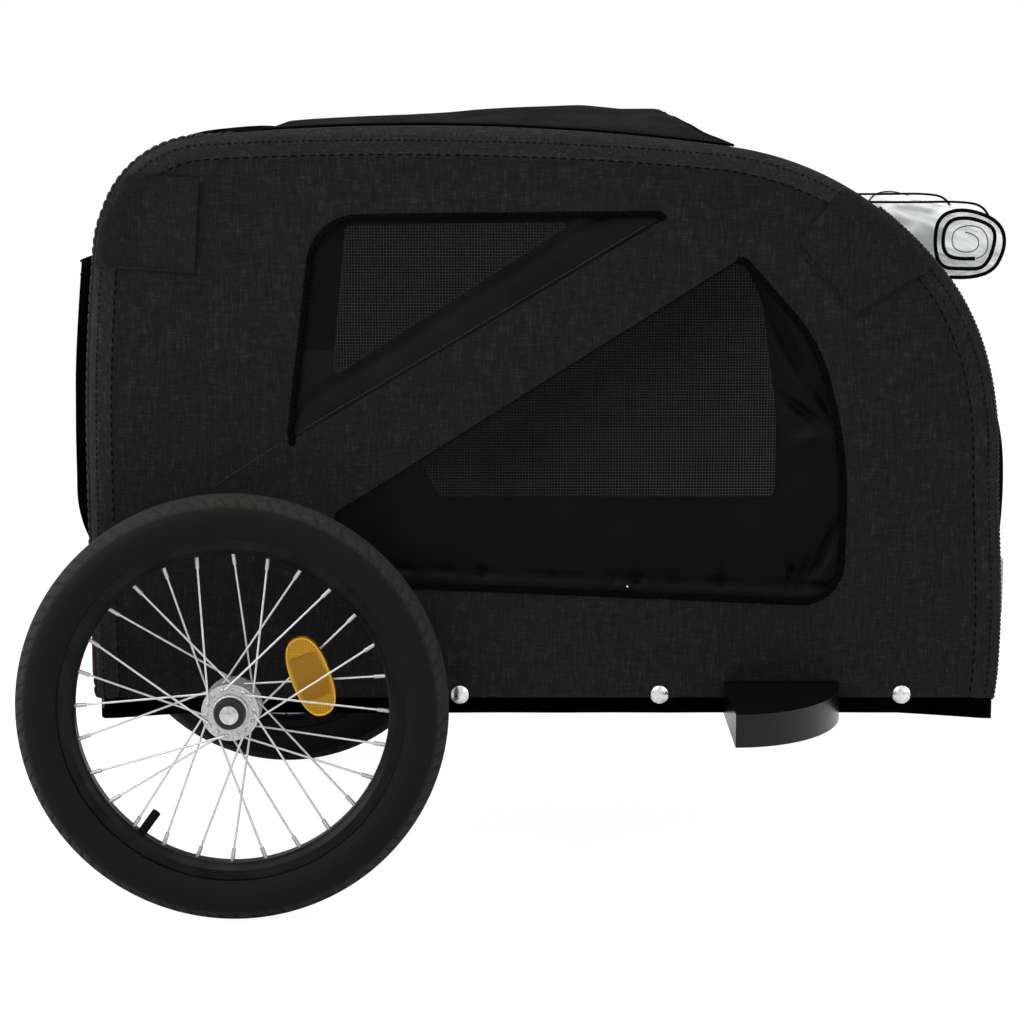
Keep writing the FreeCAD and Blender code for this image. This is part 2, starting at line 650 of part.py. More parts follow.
guard_top = GUARD_BOTTOM + GUARD_HEIGHT
guard_core = moon(GUARD_WALL, GUARD_BOTTOM - 1, guard_top - GUARD_WALL, -GUARD_WALL)
guard = moon(0, GUARD_BOTTOM, guard_top, 0).cut(guard_core)
guard_holes = [bar_y(-HALF - 6, -HALF + 1, gx, GUARD_BOLT_Z, BOLT_RADIUS + PRESS_GAP) for gx in GUARD_BOLT_X]
guard = guard.cut(Part.makeCompound(guard_holes))
both_sides("wheel_guard", [guard])
guard_bolts = []
for gx in GUARD_BOLT_X:
    seat = -HALF - PRESS_GAP - GUARD_WALL
    head = bar_y(seat - 4.5, seat, gx, GUARD_BOLT_Z, 6.0)
    shank = bar_y(seat, -RAIL_Y - 4, gx, GUARD_BOLT_Z, BOLT_RADIUS)
    guard_bolts.append(head.fuse(shank).removeSplitter())
save("guard_bolts", guard_bolts + mirrored(guard_bolts))

# Dome screws along the hem
screws = []
for sx in SCREW_X:
    ball = (SCREW_HEAD ** 2 + 3.4 ** 2) / (2 * 3.4)
    dome = Part.makeSphere(ball, V(sx, -HALF - 3.4 + ball, SCREW_Z))
    dome = dome.common(bar_y(-HALF - 5, -HALF, sx, SCREW_Z, SCREW_HEAD + 1))
    shank = bar_y(-HALF - 0.5, -RAIL_Y - 5, sx, SCREW_Z, 2.0)
    screws.append(dome.fuse(shank).removeSplitter())
save("cover_screws", screws + mirrored(screws))

# Tow arm socket: a tube under the left rail on two hangers, with a cross hole for its pin
tow_r = TOW_BORE + TOW_WALL
socket = bar_x(TOW_REAR, TOW_FRONT, TOW_Y, TOW_Z, tow_r)
hangers = []
for hx in (CROSS_X[1], LEG_FRONT):
    ear = box(hx - 10, hx + 10, TOW_Y - 4, TOW_Y + 4, TOW_Z, RAIL_Z - 4)
    hangers.append(ear.cut(bar_y(TOW_Y - 40, TOW_Y + 40, hx, RAIL_Z, RAIL_RADIUS + WELD_GAP)))
socket = socket.fuse(hangers).cut(bar_x(TOW_REAR - 1, TOW_FRONT + 1, TOW_Y, TOW_Z, TOW_BORE))
socket = socket.cut(bar_z(TOW_Z - 40, TOW_Z + 20, TOW_PIN_X, TOW_Y, TOW_PIN_RADIUS))
save("tow_socket", [max(socket.Solids, key=lambda s: s.Volume).removeSplitter()])


# Wheel, right side; every round part is turned about the axle

def turned(points, centre_y):
    """Revolves a closed outline of (radius, offset) points about the axle line."""
    pts = [V(r, centre_y + o, RAIL_Z) for r, o in points]
    wire = Part.makePolygon(pts + [pts[0]])
    return Part.Face(wire).revolve(V(0, centre_y, RAIL_Z), V(0, 1, 0), 360)


cy = -WHEEL_Y
section_c = TYRE_RADIUS - TYRE_SECTION
tyre = Part.makeTorus(section_c, TYRE_SECTION, V(0, cy, RAIL_Z), V(0, 1, 0))
tyre = tyre.cut(Part.makeTorus(section_c, TYRE_SECTION - TYRE_WALL, V(0, cy, RAIL_Z), V(0, 1, 0)))
tyre = tyre.cut(bar_y(cy - 40, cy + 40, 0, RAIL_Z, RIM_FLANGE + SEW_GAP))
both_sides("tyre", [tyre])

tube_r = TYRE_SECTION - TYRE_WALL - 0.5
va = math.radians(VALVE_ANGLE)
v_out = V(math.cos(va), 0, math.sin(va))
stem_foot = V(0, cy, RAIL_Z) + v_out * VALVE_TIP
stem = Part.makeCylinder(VALVE_RADIUS, section_c - tube_r + 1.0 - VALVE_TIP, stem_foot, v_out)
tube = Part.makeTorus(section_c, tube_r, V(0, cy, RAIL_Z), V(0, 1, 0)).fuse(stem)
tube = tube.cut(Part.makeTorus(section_c, tube_r - 1.5, V(0, cy, RAIL_Z), V(0, 1, 0)))
both_sides("inner_tube", [tube])

hw = RIM_HALF_WIDTH
rim_half = [(RIM_FLANGE, hw), (RIM_FLANGE - 9, hw), (RIM_INNER + 2, 8.5), (RIM_INNER, 6.0)]
rim_bed = [(RIM_INNER + 5, 5.0), (RIM_INNER + 8.5, 9.5), (RIM_FLANGE, 9.8)]
rim_points = rim_half + [(r, -o) for r, o in reversed(rim_half)]
rim_points = rim_points + [(r, -o) for r, o in reversed(rim_bed)] + rim_bed
rim = turned(rim_points, cy)


def spoke_line(j):
    """Hub end and rim end of one spoke; j counts clockwise from the top as seen from outside."""
    inner_flange = j % 2 == 0
    turn = 1 if j % 4 in (0, 1) else -1
    rim_a = math.radians(90 - SPOKE_PHASE - j * 360.0 / SPOKES)
    hub_a = rim_a - turn * math.radians(SPOKE_CROSS * 720.0 / SPOKES)
    flange = cy + HUB_FLANGE_OFFSET * (1 if inner_flange else -1)
    lean = turn * (HUB_FLANGE_WIDTH / 2 + SPOKE_RADIUS + PRESS_GAP)
    outward = turn == (1 if inner_flange else -1)
    lean = lean + turn * SPOKE_RISE if outward else lean
    hole = HUB_HOLE_CIRCLE
    hub = V(hole * math.cos(hub_a), flange + lean, RAIL_Z + hole * math.sin(hub_a))
    reach = RIM_INNER + 3.0
    side = 1.5 if inner_flange else -1.5
    tip = V(reach * math.cos(rim_a), cy + side, RAIL_Z + reach * math.sin(rim_a))
    return hub, tip


spokes = []
nipples = []
sockets = []
for j in range(SPOKES):
    hub_p, tip_p = spoke_line(j)
    way = tip_p - hub_p
    span = way.Length
    spokes.append(Part.makeCylinder(SPOKE_RADIUS, span - NIPPLE_LENGTH - 0.05, hub_p, way))
    way.normalize()
    seat = tip_p - way * NIPPLE_LENGTH
    nipples.append(Part.makeCylinder(NIPPLE_RADIUS, NIPPLE_LENGTH - 0.3, seat, way))
    sockets.append(Part.makeCylinder(NIPPLE_RADIUS + PRESS_GAP, NIPPLE_LENGTH, seat, way))
sockets.append(Part.makeCylinder(VALVE_RADIUS + SLIDE_GAP, 40, V(0, cy, RAIL_Z) + v_out * VALVE_TIP, v_out))
rim = rim.cut(Part.makeCompound(sockets))
both_sides("rim", [rim])
both_sides("spokes", spokes)
both_sides("nipples", nipples)

hl = HUB_HALF_LENGTH
fo = HUB_FLANGE_OFFSET
fw = HUB_FLANGE_WIDTH / 2
bore = BEARING_RADIUS + 0.02
hub_half = [(bore, hl), (HUB_LIP_RADIUS, hl), (HUB_LIP_RADIUS, fo + fw), (HUB_FLANGE_RADIUS, fo + fw)]
hub_half = hub_half + [(HUB_FLANGE_RADIUS, fo - fw), (HUB_LIP_RADIUS - 1, fo - fw)]
hub_step = [(10.0, hl - BEARING_WIDTH), (bore, hl - BEARING_WIDTH)]
hub_points = hub_half + [(r, -o) for r, o in reversed(hub_half)]
hub_points = hub_points + [(r, -o) for r, o in reversed(hub_step)] + hub_step
both_sides("hub", [turned(hub_points, cy)])

bearings = []
for o in (hl - BEARING_WIDTH + 0.05, -hl - 0.05):
    far = o + BEARING_WIDTH
    bore = AXLE_RADIUS + RUN_GAP
    ring = [(bore, o), (BEARING_RADIUS, o), (BEARING_RADIUS, far), (bore, far)]
    bearings.append(turned(ring, cy))
both_sides("hub_bearings", bearings)

# Push-button axle: pin, inner collar and head cup; the button slides in the cup
pin_in = -HALF_IN + AXLE_GRIP
out = cy - hl - 0.4
cup = 7.6
pin = bar_y(out - 1, pin_in, 0, RAIL_Z, AXLE_RADIUS)
collar = bar_y(cy + hl + 0.4, -HALF - 3, 0, RAIL_Z, 9.0)
head = bar_y(out - cup, out, 0, RAIL_Z, AXLE_HEAD_RADIUS)
head = head.cut(bar_y(out - cup - 1, out - 1.6, 0, RAIL_Z, BUTTON_RADIUS + SLIDE_GAP))
axle = pin.fuse([collar, head]).cut(bar_y(out - 2, out + 40, 0, RAIL_Z, 3.0 + RUN_GAP)).removeSplitter()
both_sides("axle", [axle])

cap_in = out - 1.6 - BUTTON_TRAVEL - 0.4
cap = bar_y(cap_in - 3.0, cap_in, 0, RAIL_Z, BUTTON_RADIUS)
dome_h = 1.6
ball = (BUTTON_RADIUS ** 2 + dome_h ** 2) / (2 * dome_h)
dome = Part.makeSphere(ball, V(0, cap_in - 3.0 - dome_h + ball, RAIL_Z))
dome = dome.common(bar_y(cap_in - 8, cap_in - 3.0, 0, RAIL_Z, BUTTON_RADIUS))
button_stem = bar_y(cap_in - 1, out + 30, 0, RAIL_Z, 3.0)
both_sides("release_button", [cap.fuse([dome, button_stem]).removeSplitter()])

# Spoke reflector: a capsule with a sunk prism field in both faces
ra = math.radians(REFLECTOR_ANGLE)
rd = REFLECTOR_DEPTH / 2
end_r = REFLECTOR_HEIGHT / 2
side = REFLECTOR_LENGTH / 2 - end_r
lens = Part.makeBox(2 * end_r, REFLECTOR_DEPTH, 2 * side, V(-end_r, cy - rd, -side))
lens = lens.fuse([bar_y(cy - rd, cy + rd, 0, z, end_r) for z in (-side, side)]).removeSplitter()
for y in (cy - rd - 1, cy + rd - REFLECTOR_SINK):
    corner = V(-REFLECTOR_FIELD_WIDTH / 2, y, -REFLECTOR_FIELD_LENGTH / 2)
    lens = lens.cut(Part.makeBox(REFLECTOR_FIELD_WIDTH, REFLECTOR_SINK + 1, REFLECTOR_FIELD_LENGTH, corner))
lens.rotate(V(0, 0, 0), V(0, 1, 0), -REFLECTOR_TILT)
lens.translate(V(REFLECTOR_CIRCLE * math.cos(ra), 0, RAIL_Z + REFLECTOR_CIRCLE * math.sin(ra)))
both_sides("wheel_reflector", [lens])
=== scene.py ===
import math

import bpy
from mathutils import Matrix, Vector, noise


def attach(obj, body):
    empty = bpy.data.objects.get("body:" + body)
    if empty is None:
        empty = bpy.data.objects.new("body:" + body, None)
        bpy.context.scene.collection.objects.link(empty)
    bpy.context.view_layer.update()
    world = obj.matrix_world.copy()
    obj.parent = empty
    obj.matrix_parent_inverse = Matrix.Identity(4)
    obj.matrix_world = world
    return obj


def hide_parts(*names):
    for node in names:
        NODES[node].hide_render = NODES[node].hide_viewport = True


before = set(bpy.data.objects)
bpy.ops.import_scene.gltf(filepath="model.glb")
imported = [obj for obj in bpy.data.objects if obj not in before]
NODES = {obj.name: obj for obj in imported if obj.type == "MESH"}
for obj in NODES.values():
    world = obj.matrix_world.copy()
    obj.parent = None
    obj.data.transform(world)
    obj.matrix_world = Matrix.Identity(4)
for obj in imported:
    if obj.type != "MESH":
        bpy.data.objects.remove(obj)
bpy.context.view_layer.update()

# Sizes in millimetres: x forward from the wheel axle, y to the left, z up from the ground
AXLE_X = -259.65
WHEEL_Y = 310.0
WHEEL_Z = 200.0
HALF = 255.0
CROSS_HALF = 252.3
REAR_X = -131.0
FRONT_X = 711.0
HEM_Z = 198.0
SKIRT_Z = 183.0
ROOF_X = 172.0
ROOF_R = 2150.0
ROOF_Z = 730.5 - ROOF_R
REAR_R = 112.0
REAR_C = (REAR_X + REAR_R, ROOF_Z + math.sqrt((ROOF_R - REAR_R) ** 2 - (REAR_X + REAR_R - ROOF_X) ** 2))
FRONT_R = 292.0
FRONT_C = (FRONT_X - FRONT_R, ROOF_Z + math.sqrt((ROOF_R - FRONT_R) ** 2 - (FRONT_X - FRONT_R - ROOF_X) ** 2))
REAR_A = math.degrees(math.atan2(REAR_C[1] - ROOF_Z, REAR_C[0] - ROOF_X))
FRONT_A = math.degrees(math.atan2(FRONT_C[1] - ROOF_Z, FRONT_C[0] - ROOF_X))

# Outlines as (x, z, corner radius)
UPPER_WINDOW = ((48.5, 438.5, 5), (74.5, 650, 48), (411, 654, 5))
LOWER_WINDOW = ((84, 306, 16), (568, 285, 40), (571, 430, 400), (543, 533, 150), (472, 613, 6), (93, 374, 6))
UPPER_NET = ((91, 500, 5), (105, 641, 5), (316, 644, 3))
LOWER_NET = ((190, 389, 6), (503, 389, 8), (503, 470, 150), (489, 570, 40), (471, 610.6, 3), (173, 422.9, 4))
REAR_PATCH = ((-140, 690), (-28, 684), (-34, 597), (-140, 603))
FRONT_PATCH = ((518, 623), (575, 690), (648, 604), (576, 557))
FLAP = (28.0, 462.0, 238.0)
POCKET = (230.0, 337.0, 607.0)
ROOF_OPEN = (70.0, 395.0, 185.0)
ROLL_C = (678.5, 627.3)
HEM_TUBE = 21.0

# Layers of the right side from the outside in, as y in millimetres
PATCH_Y = -257.1
BAND_ROW_Y = -256.5
CORD_Y = -255.6
BORDER_Y = -254.2
NET_Y = -253.9
GROUND_Y = -252.9

# Net threads are drawn coarser than the real 1 mm mesh, to show
NET_PITCH = 2.7
NET_GAUGE = 0.62


def place(x, y, z):
    """A point of the trailer, from millimetres to the part's own frame in metres."""
    return Vector((x + AXLE_X, y, z)) * 0.001


def out_of(p):
    """Back to millimetres, x from the axle."""
    return p.x * 1000 - AXLE_X, p.y * 1000, p.z * 1000


def clamp(value):
    return max(0.0, min(1.0, value))


def arc(centre, r, a0, a1, steps):
    angles = [math.radians(a0 + (a1 - a0) * k / steps) for k in range(steps + 1)]
    return [(centre[0] + r * math.cos(a), centre[1] + r * math.sin(a)) for a in angles]


def rear_bow(z):
    """How far the sewn rear edge stands outside its straight cut: a slow belly, drawn in at the corner."""
    belly = 3.8 - ((z - 430) / (60.0 if z > 430 else 145.0)) ** 2
    return max(-5.7, belly) * clamp((714 - z) / 58)


def front_bow(z):
    """The same for the front edge: drawn in at mid height, full near the hem, tucked in at its end."""
    wave = -2.8 * math.cos(2 * math.pi * (z - 430) / 310)
    return wave * clamp((640 - z) / 60) - 1.5 * math.exp(-((z - HEM_Z) / 12) ** 2)


def rear_line(out=0.0):
    """Rear edge of the cover from the hem to the end of the rear corner."""
    straight = [(REAR_X - out, HEM_Z + (REAR_C[1] - HEM_Z) * k / 20) for k in range(20)]
    return [(x - rear_bow(z), z) for x, z in straight + arc(REAR_C, REAR_R + out, 180, REAR_A, 24)]


def roof_line(out=0.0, sink=0.0):
    """Roof edge from rear to front; sink lowers its middle."""
    line = arc((ROOF_X, ROOF_Z), ROOF_R + out, REAR_A, FRONT_A, 40)
    return [(x, z - sink * math.sin(math.pi * k / 40)) for k, (x, z) in enumerate(line)]


def front_line(out=0.0):
    """Front edge of the cover from the roof to the hem."""
    straight = [(FRONT_X + out, FRONT_C[1] + (HEM_Z - FRONT_C[1]) * k / 20) for k in range(1, 21)]
    return [(x + front_bow(z), z) for x, z in arc(FRONT_C, FRONT_R + out, FRONT_A, 0, 34) + straight]


def cover_line(out=0.0, sink=0.0):
    """The whole side outline, from the rear hem over the roof to the front hem."""
    return rear_line(out) + roof_line(out, sink)[1:] + front_line(out)[1:]


def roof_height(x, inset=0.0):
    return ROOF_Z + math.sqrt((ROOF_R - inset) ** 2 - (x - ROOF_X) ** 2)


def depth_in(x, z):
    """How far a point of the side lies inside the cover's edge."""
    if x < REAR_C[0]:
        x += rear_bow(z)
        return REAR_R - math.hypot(x - REAR_C[0], z - REAR_C[1]) if z > REAR_C[1] else x - REAR_X
    if x > FRONT_C[0]:
        x -= front_bow(z)
        return FRONT_R - math.hypot(x - FRONT_C[0], z - FRONT_C[1]) if z > FRONT_C[1] else FRONT_X - x
    return ROOF_R - math.hypot(x - ROOF_X, z - ROOF_Z)


def soft_corners(points, steps=10):
    """A closed outline with its corners rounded, from (x, z, radius) points."""
    loop = []
    for k, (x, z, r) in enumerate(points):
        p = Vector((x, z))
        a = (Vector(points[k - 1][:2]) - p).normalized()
        b = (Vector(points[(k + 1) % len(points)][:2]) - p).normalized()
        half = a.angle(b) / 2
        centre = p + (a + b).normalized() * (r / math.sin(half))
        start = p + a * (r / math.tan(half)) - centre
        sweep = start.angle_signed(p + b * (r / math.tan(half)) - centre)
        for s in range(steps + 1):
            turn = Matrix.Rotation(-sweep * s / steps, 2)
            loop.append(tuple(centre + turn @ start))
    return loop


def eased(points, steps=10):
    """A line of given points with its corners drawn smooth."""
    points = [Vector(p) for p in points]
    line = []
    for k in range(1, len(points) - 1):
        start = points[0] if k == 1 else points[k - 1].lerp(points[k], 0.5)
        end = points[-1] if k == len(points) - 2 else points[k].lerp(points[k + 1], 0.5)
        for s in range(steps):
            t = s / steps
            line.append(start.lerp(points[k], t).lerp(points[k].lerp(end, t), t))
    return line + [points[-1]]


def even(points, step):
    """The same line with points at even steps."""
    out = [Vector(points[0])]
    left = step
    for a, b in zip(points, points[1:]):
        a, b = Vector(a), Vector(b)
        span = (b - a).length
        done = left
        while done <= span:
            out.append(a.lerp(b, done / span))
            done += step
        left = done - span
    return out


# Bench work: one piece is held at a time

def only(obj):
    bpy.ops.object.select_all(action="DESELECT")
    obj.select_set(True)
    bpy.context.view_layer.objects.active = obj


def settle(obj):
    only(obj)
    bpy.ops.object.transform_apply(location=True, rotation=True, scale=True)


def work(obj, kind, **settings):
    """Adds one modifier, sets it and applies it."""
    step = obj.modifiers.new(kind.lower(), kind)
    for name, value in settings.items():
        setattr(step, name, value)
    only(obj)
    bpy.ops.object.modifier_apply(modifier=step.name)
    return obj


def thicken(obj, mm, offset=-1):
    """Gives a sheet its thickness, inwards unless told otherwise."""
    return work(obj, "SOLIDIFY", thickness=mm / 1000, offset=offset)


def hold(obj, mode="VERT"):
    """Opens a piece for editing with all of it selected."""
    only(obj)
    bpy.ops.object.mode_set(mode="EDIT")
    bpy.ops.mesh.select_mode(type=mode)
    bpy.ops.mesh.select_all(action="SELECT")


def let_go():
    bpy.ops.object.mode_set(mode="OBJECT")


def pick(obj, wanted):
    """Selects the faces that the test wants, in an open piece."""
    bpy.ops.mesh.select_mode(type="FACE")
    bpy.ops.mesh.select_all(action="DESELECT")
    let_go()
    for face in obj.data.polygons:
        face.select = wanted(face)
    bpy.ops.object.mode_set(mode="EDIT")


def shape(obj, move):
    """Moves every point of a piece by hand."""
    for v in obj.data.vertices:
        v.co = move(v.co)
    obj.data.update()
    return obj


def smooth(obj, angle=35):
    only(obj)
    bpy.ops.object.shade_smooth_by_angle(angle=math.radians(angle))
    return obj


def weld(obj, distance=0.00001):
    hold(obj)
    bpy.ops.mesh.remove_doubles(threshold=distance)
    bpy.ops.mesh.normals_make_consistent(inside=False)
    let_go()
    return obj


def flip(obj):
    """Turns a piece's faces round."""
    hold(obj)
    bpy.ops.mesh.flip_normals()
    let_go()
    return obj


def begin(name, primitive, **sizes):
    """Adds a primitive while nothing else is selected."""
    bpy.ops.object.select_all(action="DESELECT")
    primitive(**sizes)
    bpy.context.object.name = name
    return bpy.context.object


def copy(obj, name):
    twin = obj.copy()
    twin.data = obj.data.copy()
    twin.name = name
    bpy.context.scene.collection.objects.link(twin)
    return twin


def join(name, pieces):
    bpy.ops.object.select_all(action="DESELECT")
    for piece in pieces:
        piece.select_set(True)
    bpy.context.view_layer.objects.active = pieces[0]
    bpy.ops.object.join()
    pieces[0].name = name
    return pieces[0]


def other_side(obj):
    """The same piece on the left side, with its faces turned out again."""
    twin = copy(obj, obj.name.replace("_right", "_left"))
    return flip(shape(twin, lambda p: Vector((p.x, -p.y, p.z))))


def curve_from(name, lines, flat=False):
    """A curve of straight runs through points in metres."""
    curve = bpy.data.curves.new(name, "CURVE")
    curve.dimensions = "2D" if flat else "3D"
    if flat:
        curve.fill_mode = "BOTH"
    for points in lines:
        spline = curve.splines.new("POLY")
        spline.points.add(len(points) - 1)
        for spot, p in zip(spline.points, points):
            spot.co = (p[0], p[1], 0 if flat else p[2], 1)
        spline.use_cyclic_u = flat
    obj = bpy.data.objects.new(name, curve)
    bpy.context.scene.collection.objects.link(obj)
    return obj


def flat_cut(name, edge, holes=(), step=8.0, y=0.0):
    """Cloth cut flat to an outline in the side plane, divided both ways so that it can be shaped."""
    loops = [[place(x, 0, z).xz for x, z in loop] for loop in (edge, *holes)]
    obj = curve_from(name, loops, flat=True)
    only(obj)
    bpy.ops.object.convert(target="MESH")
    obj.rotation_euler = (math.radians(90), 0, 0)
    obj.location = (0, y * 0.001, 0)
    settle(obj)
    xs = [p[0] for p in loops[0]]
    zs = [p[1] for p in loops[0]]
    hold(obj)
    bpy.ops.mesh.remove_doubles(threshold=0.00002)
    bpy.ops.mesh.dissolve_limited(angle_limit=0.01)
    for low, high, way in ((min(xs), max(xs), (1, 0, 0)), (min(zs), max(zs), (0, 0, 1))):
        count = int((high - low) * 1000 / step)
        for k in range(1, count + 1):
            spot = low + (high - low) * k / (count + 1)
            bpy.ops.mesh.select_all(action="SELECT")
            bpy.ops.mesh.bisect(plane_co=[spot * w for w in way], plane_no=way)
    let_go()
    return obj


def grid(name, columns, rows, move):
    """A flat grid from -0.5 to 0.5 each way, laid in place by a rule."""
    sheet = begin(name, bpy.ops.mesh.primitive_grid_add, x_subdivisions=columns, y_subdivisions=rows, size=1)
    return shape(sheet, move)


def strip(name, line, half, along, across):
    """A sheet bent along a line of the side view: a flat grid laid on the line."""
    total = sum((Vector(b) - Vector(a)).length for a, b in zip(line, line[1:]))
    points = even(line, total / along * 0.99999)

    def lay(p):
        k = min(len(points) - 1, max(0, round((p.x + 0.5) * along)))
        return place(points[k].x, p.y * 2 * half, points[k].y)

    return grid(name, along, across, lay), total


def open_up(obj, inside):
    """Takes out the faces whose middles lie inside an opening."""
    hold(obj, "FACE")
    pick(obj, lambda face: inside(face.center))
    bpy.ops.mesh.delete(type="FACE")
    let_go()


def face_out(obj, way):
    """Turns a sheet's faces towards a direction."""
    normal = sum((face.normal * face.area for face in obj.data.polygons), Vector())
    return flip(obj) if normal.dot(Vector(way)) < 0 else obj


def backed(sheet, way, mm, angle=35):
    """A sheet that faces a direction, with its thickness behind it."""
    return smooth(thicken(face_out(sheet, way), mm), angle)


def area_of(obj):
    return sum(face.area for face in obj.data.polygons)


def bead_of(name, length, radius, tilt=0.0, rings=6, sides=8):
    """One bulge of a twisted cord, or one stitch, lying along x."""
    bead = begin(name, bpy.ops.mesh.primitive_uv_sphere_add, segments=sides, ring_count=rings, radius=1)
    bead.rotation_euler = (0, math.radians(90), 0)
    settle(bead)
    bead.scale = (length / 2000, radius / 1000, radius / 1000)
    settle(bead)
    bead.rotation_euler = (0, math.radians(tilt), 0)
    bead.location = (length / 2000, 0, 0)
    settle(bead)
    return smooth(bead, 80)


def strung(name, bead, route, pitch):
    """Copies of one bead at an even pitch along a line of points in metres."""
    path = curve_from(name + "_path", [route])
    row = copy(bead, name)
    work(row, "ARRAY", fit_type="FIT_CURVE", curve=path, use_relative_offset=False,
         use_constant_offset=True, constant_offset_displace=(pitch / 1000, 0, 0))
    work(row, "CURVE", object=path, deform_axis="POS_X")
    bpy.data.objects.remove(path)
    return row


def tube(name, route, radius, sides=4):
    """A round cord along a line of points in metres."""
    path = curve_from(name, [route])
    path.data.bevel_depth = radius / 1000
    path.data.bevel_resolution = sides
    path.data.use_fill_caps = True
    only(path)
    bpy.ops.object.convert(target="MESH")
    return smooth(weld(path), 60)


def side_route(points, y):
    return [place(x, y, z) for x, z in points]


def threads(u, v, pitch, gauge, runs=1):
    """A woven net, flat in u and v millimetres: two sets of threads that cross."""
    sets = []
    for way, (span, across) in enumerate(((u, v), (v, u))):
        thread = begin("thread", bpy.ops.mesh.primitive_cube_add, size=1)
        thread.scale = (gauge, across[1] - across[0], gauge * 0.7)
        thread.location = (span[0] + pitch / 2, (across[0] + across[1]) / 2, gauge * 0.3 * way)
        settle(thread)
        hold(thread)
        for k in range(1, runs):
            spot = across[0] + (across[1] - across[0]) * k / runs
            bpy.ops.mesh.select_all(action="SELECT")
            bpy.ops.mesh.bisect(plane_co=(0, spot, 0), plane_no=(0, 1, 0))
        let_go()
        work(thread, "ARRAY", count=int((span[1] - span[0]) / pitch), use_relative_offset=False,
             use_constant_offset=True, constant_offset_displace=(pitch, 0, 0))
        if way:
            flip(shape(thread, lambda p: Vector((p.y, p.x, p.z))))
        sets.append(thread)
    return sets


# Finishes

def tint(code):
    """An sRGB hex colour as the linear colour a shader takes."""
    parts = [int(code[k:k + 2], 16) / 255 for k in (1, 3, 5)]
    return (*[c / 12.92 if c <= 0.04045 else ((c + 0.055) / 1.055) ** 2.4 for c in parts], 1)


def add(tree, kind, inputs, out=0, stops=(), **settings):
    """Adds one node with its settings, colour stops, values and links; returns one of its outputs."""
    made = tree.nodes.new("ShaderNode" + kind)
    for name, value in settings.items():
        setattr(made, name, value)
    for k, (spot, code) in enumerate(stops):
        stop = made.color_ramp.elements[k] if k < 2 else made.color_ramp.elements.new(spot)
        stop.position = spot
        stop.color = tint(code)
    for key, value in inputs.items():
        if isinstance(value, bpy.types.NodeSocket):
            tree.links.new(value, made.inputs[key])
        else:
            made.inputs[key].default_value = value
    return made.outputs[out] if len(made.outputs) else None


def blank(name):
    """A new material with an empty tree, and its object coordinates in metres."""
    made = bpy.data.materials.new(name)
    made.use_nodes = True
    made.node_tree.nodes.clear()
    return made, made.node_tree, add(made.node_tree, "TexCoord", {}, "Object")


def speckle(tree, spot, scale, detail):
    """Soft uneven spots, so many to the metre."""
    return add(tree, "TexNoise", {"Vector": spot, "Scale": scale, "Detail": detail})


def woven(tree, spot, scale, second="Z"):
    """The height of two sets of threads that cross."""
    across = add(tree, "TexWave", {"Vector": spot, "Scale": scale}, "Fac", bands_direction="X")
    along = add(tree, "TexWave", {"Vector": spot, "Scale": scale}, "Fac", bands_direction=second)
    return add(tree, "Math", {0: across, 1: along})


def surfaced(made, inputs, high=None, distance=0.0, strength=0.0):
    """Closes a material with its surface, raised by a height if there is one."""
    tree = made.node_tree
    if high is not None:
        bump = add(tree, "Bump", {"Height": high, "Distance": distance, "Strength": strength})
        inputs = {**inputs, "Normal": bump}
    add(tree, "OutputMaterial", {"Surface": add(tree, "BsdfPrincipled", inputs)})
    return made


def mottled(name, scale, detail, stops, inputs, relief=()):
    """A finish that drifts between two tones in soft spots, which may also stand up from it."""
    made, tree, spot = blank(name)
    cloud = speckle(tree, spot, scale, detail)
    colour = add(tree, "ValToRGB", {"Fac": cloud}, stops=stops)
    return surfaced(made, {"Base Color": colour, **inputs}, cloud if relief else None, *relief)


def melange_cloth(name, tones):
    """Charcoal melange polyester, plain weave: matt, with short lighter slubs along both threads."""
    made, tree, spot = blank(name)
    upright = add(tree, "Mapping", {"Vector": spot, "Scale": (800, 800, 90)})
    level = add(tree, "Mapping", {"Vector": spot, "Scale": (110, 800, 800)})
    warp = speckle(tree, upright, 1.0, 1.0)
    weft = speckle(tree, level, 1.0, 1.0)
    cross = add(tree, "Math", {0: weft, 1: 0.45}, operation="MULTIPLY")
    mixed = add(tree, "Math", {0: warp, 1: 0.55, 2: cross}, operation="MULTIPLY_ADD")
    colour = add(tree, "ValToRGB", {"Fac": mixed}, stops=[*zip((0.34, 0.72, 0.50, 0.60), tones)])
    # The real threads are 0.4 mm apart; they are drawn at 1.2 mm to show
    weave = woven(tree, spot, 262)
    high = add(tree, "Math", {0: weave, 1: 0.5, 2: mixed}, operation="MULTIPLY_ADD")
    inputs = {"Base Color": colour, "Roughness": 0.95, "Specular IOR Level": 0.08}
    return surfaced(made, inputs, high, 0.0003, 0.45)


def smooth_cloth(name, dark, light, specular, roughness):
    """Fine woven polyester: nearly even colour, a dull sheen over its folds, a dense weave."""
    made, tree, spot = blank(name)
    cloud = speckle(tree, spot, 22.0, 3.0)
    colour = add(tree, "ValToRGB", {"Fac": cloud}, stops=((0.35, dark), (0.65, light)))
    # The real threads are 0.3 mm apart; they are drawn at 1 mm to show
    inputs = {"Base Color": colour, "Roughness": roughness, "Specular IOR Level": specular}
    return surfaced(made, inputs, woven(tree, spot, 314), 0.00012, 0.4)


def spun_thread(name, dark, light, size=0.9):
    """Spun polyester thread, cord or rubbery cord: matt, with a fuzzy broken surface."""
    return mottled(name, 1000 / size, 3.0, ((0.35, dark), (0.68, light)),
                   {"Roughness": 0.95, "Specular IOR Level": 0.02}, (0.00025, 0.6))


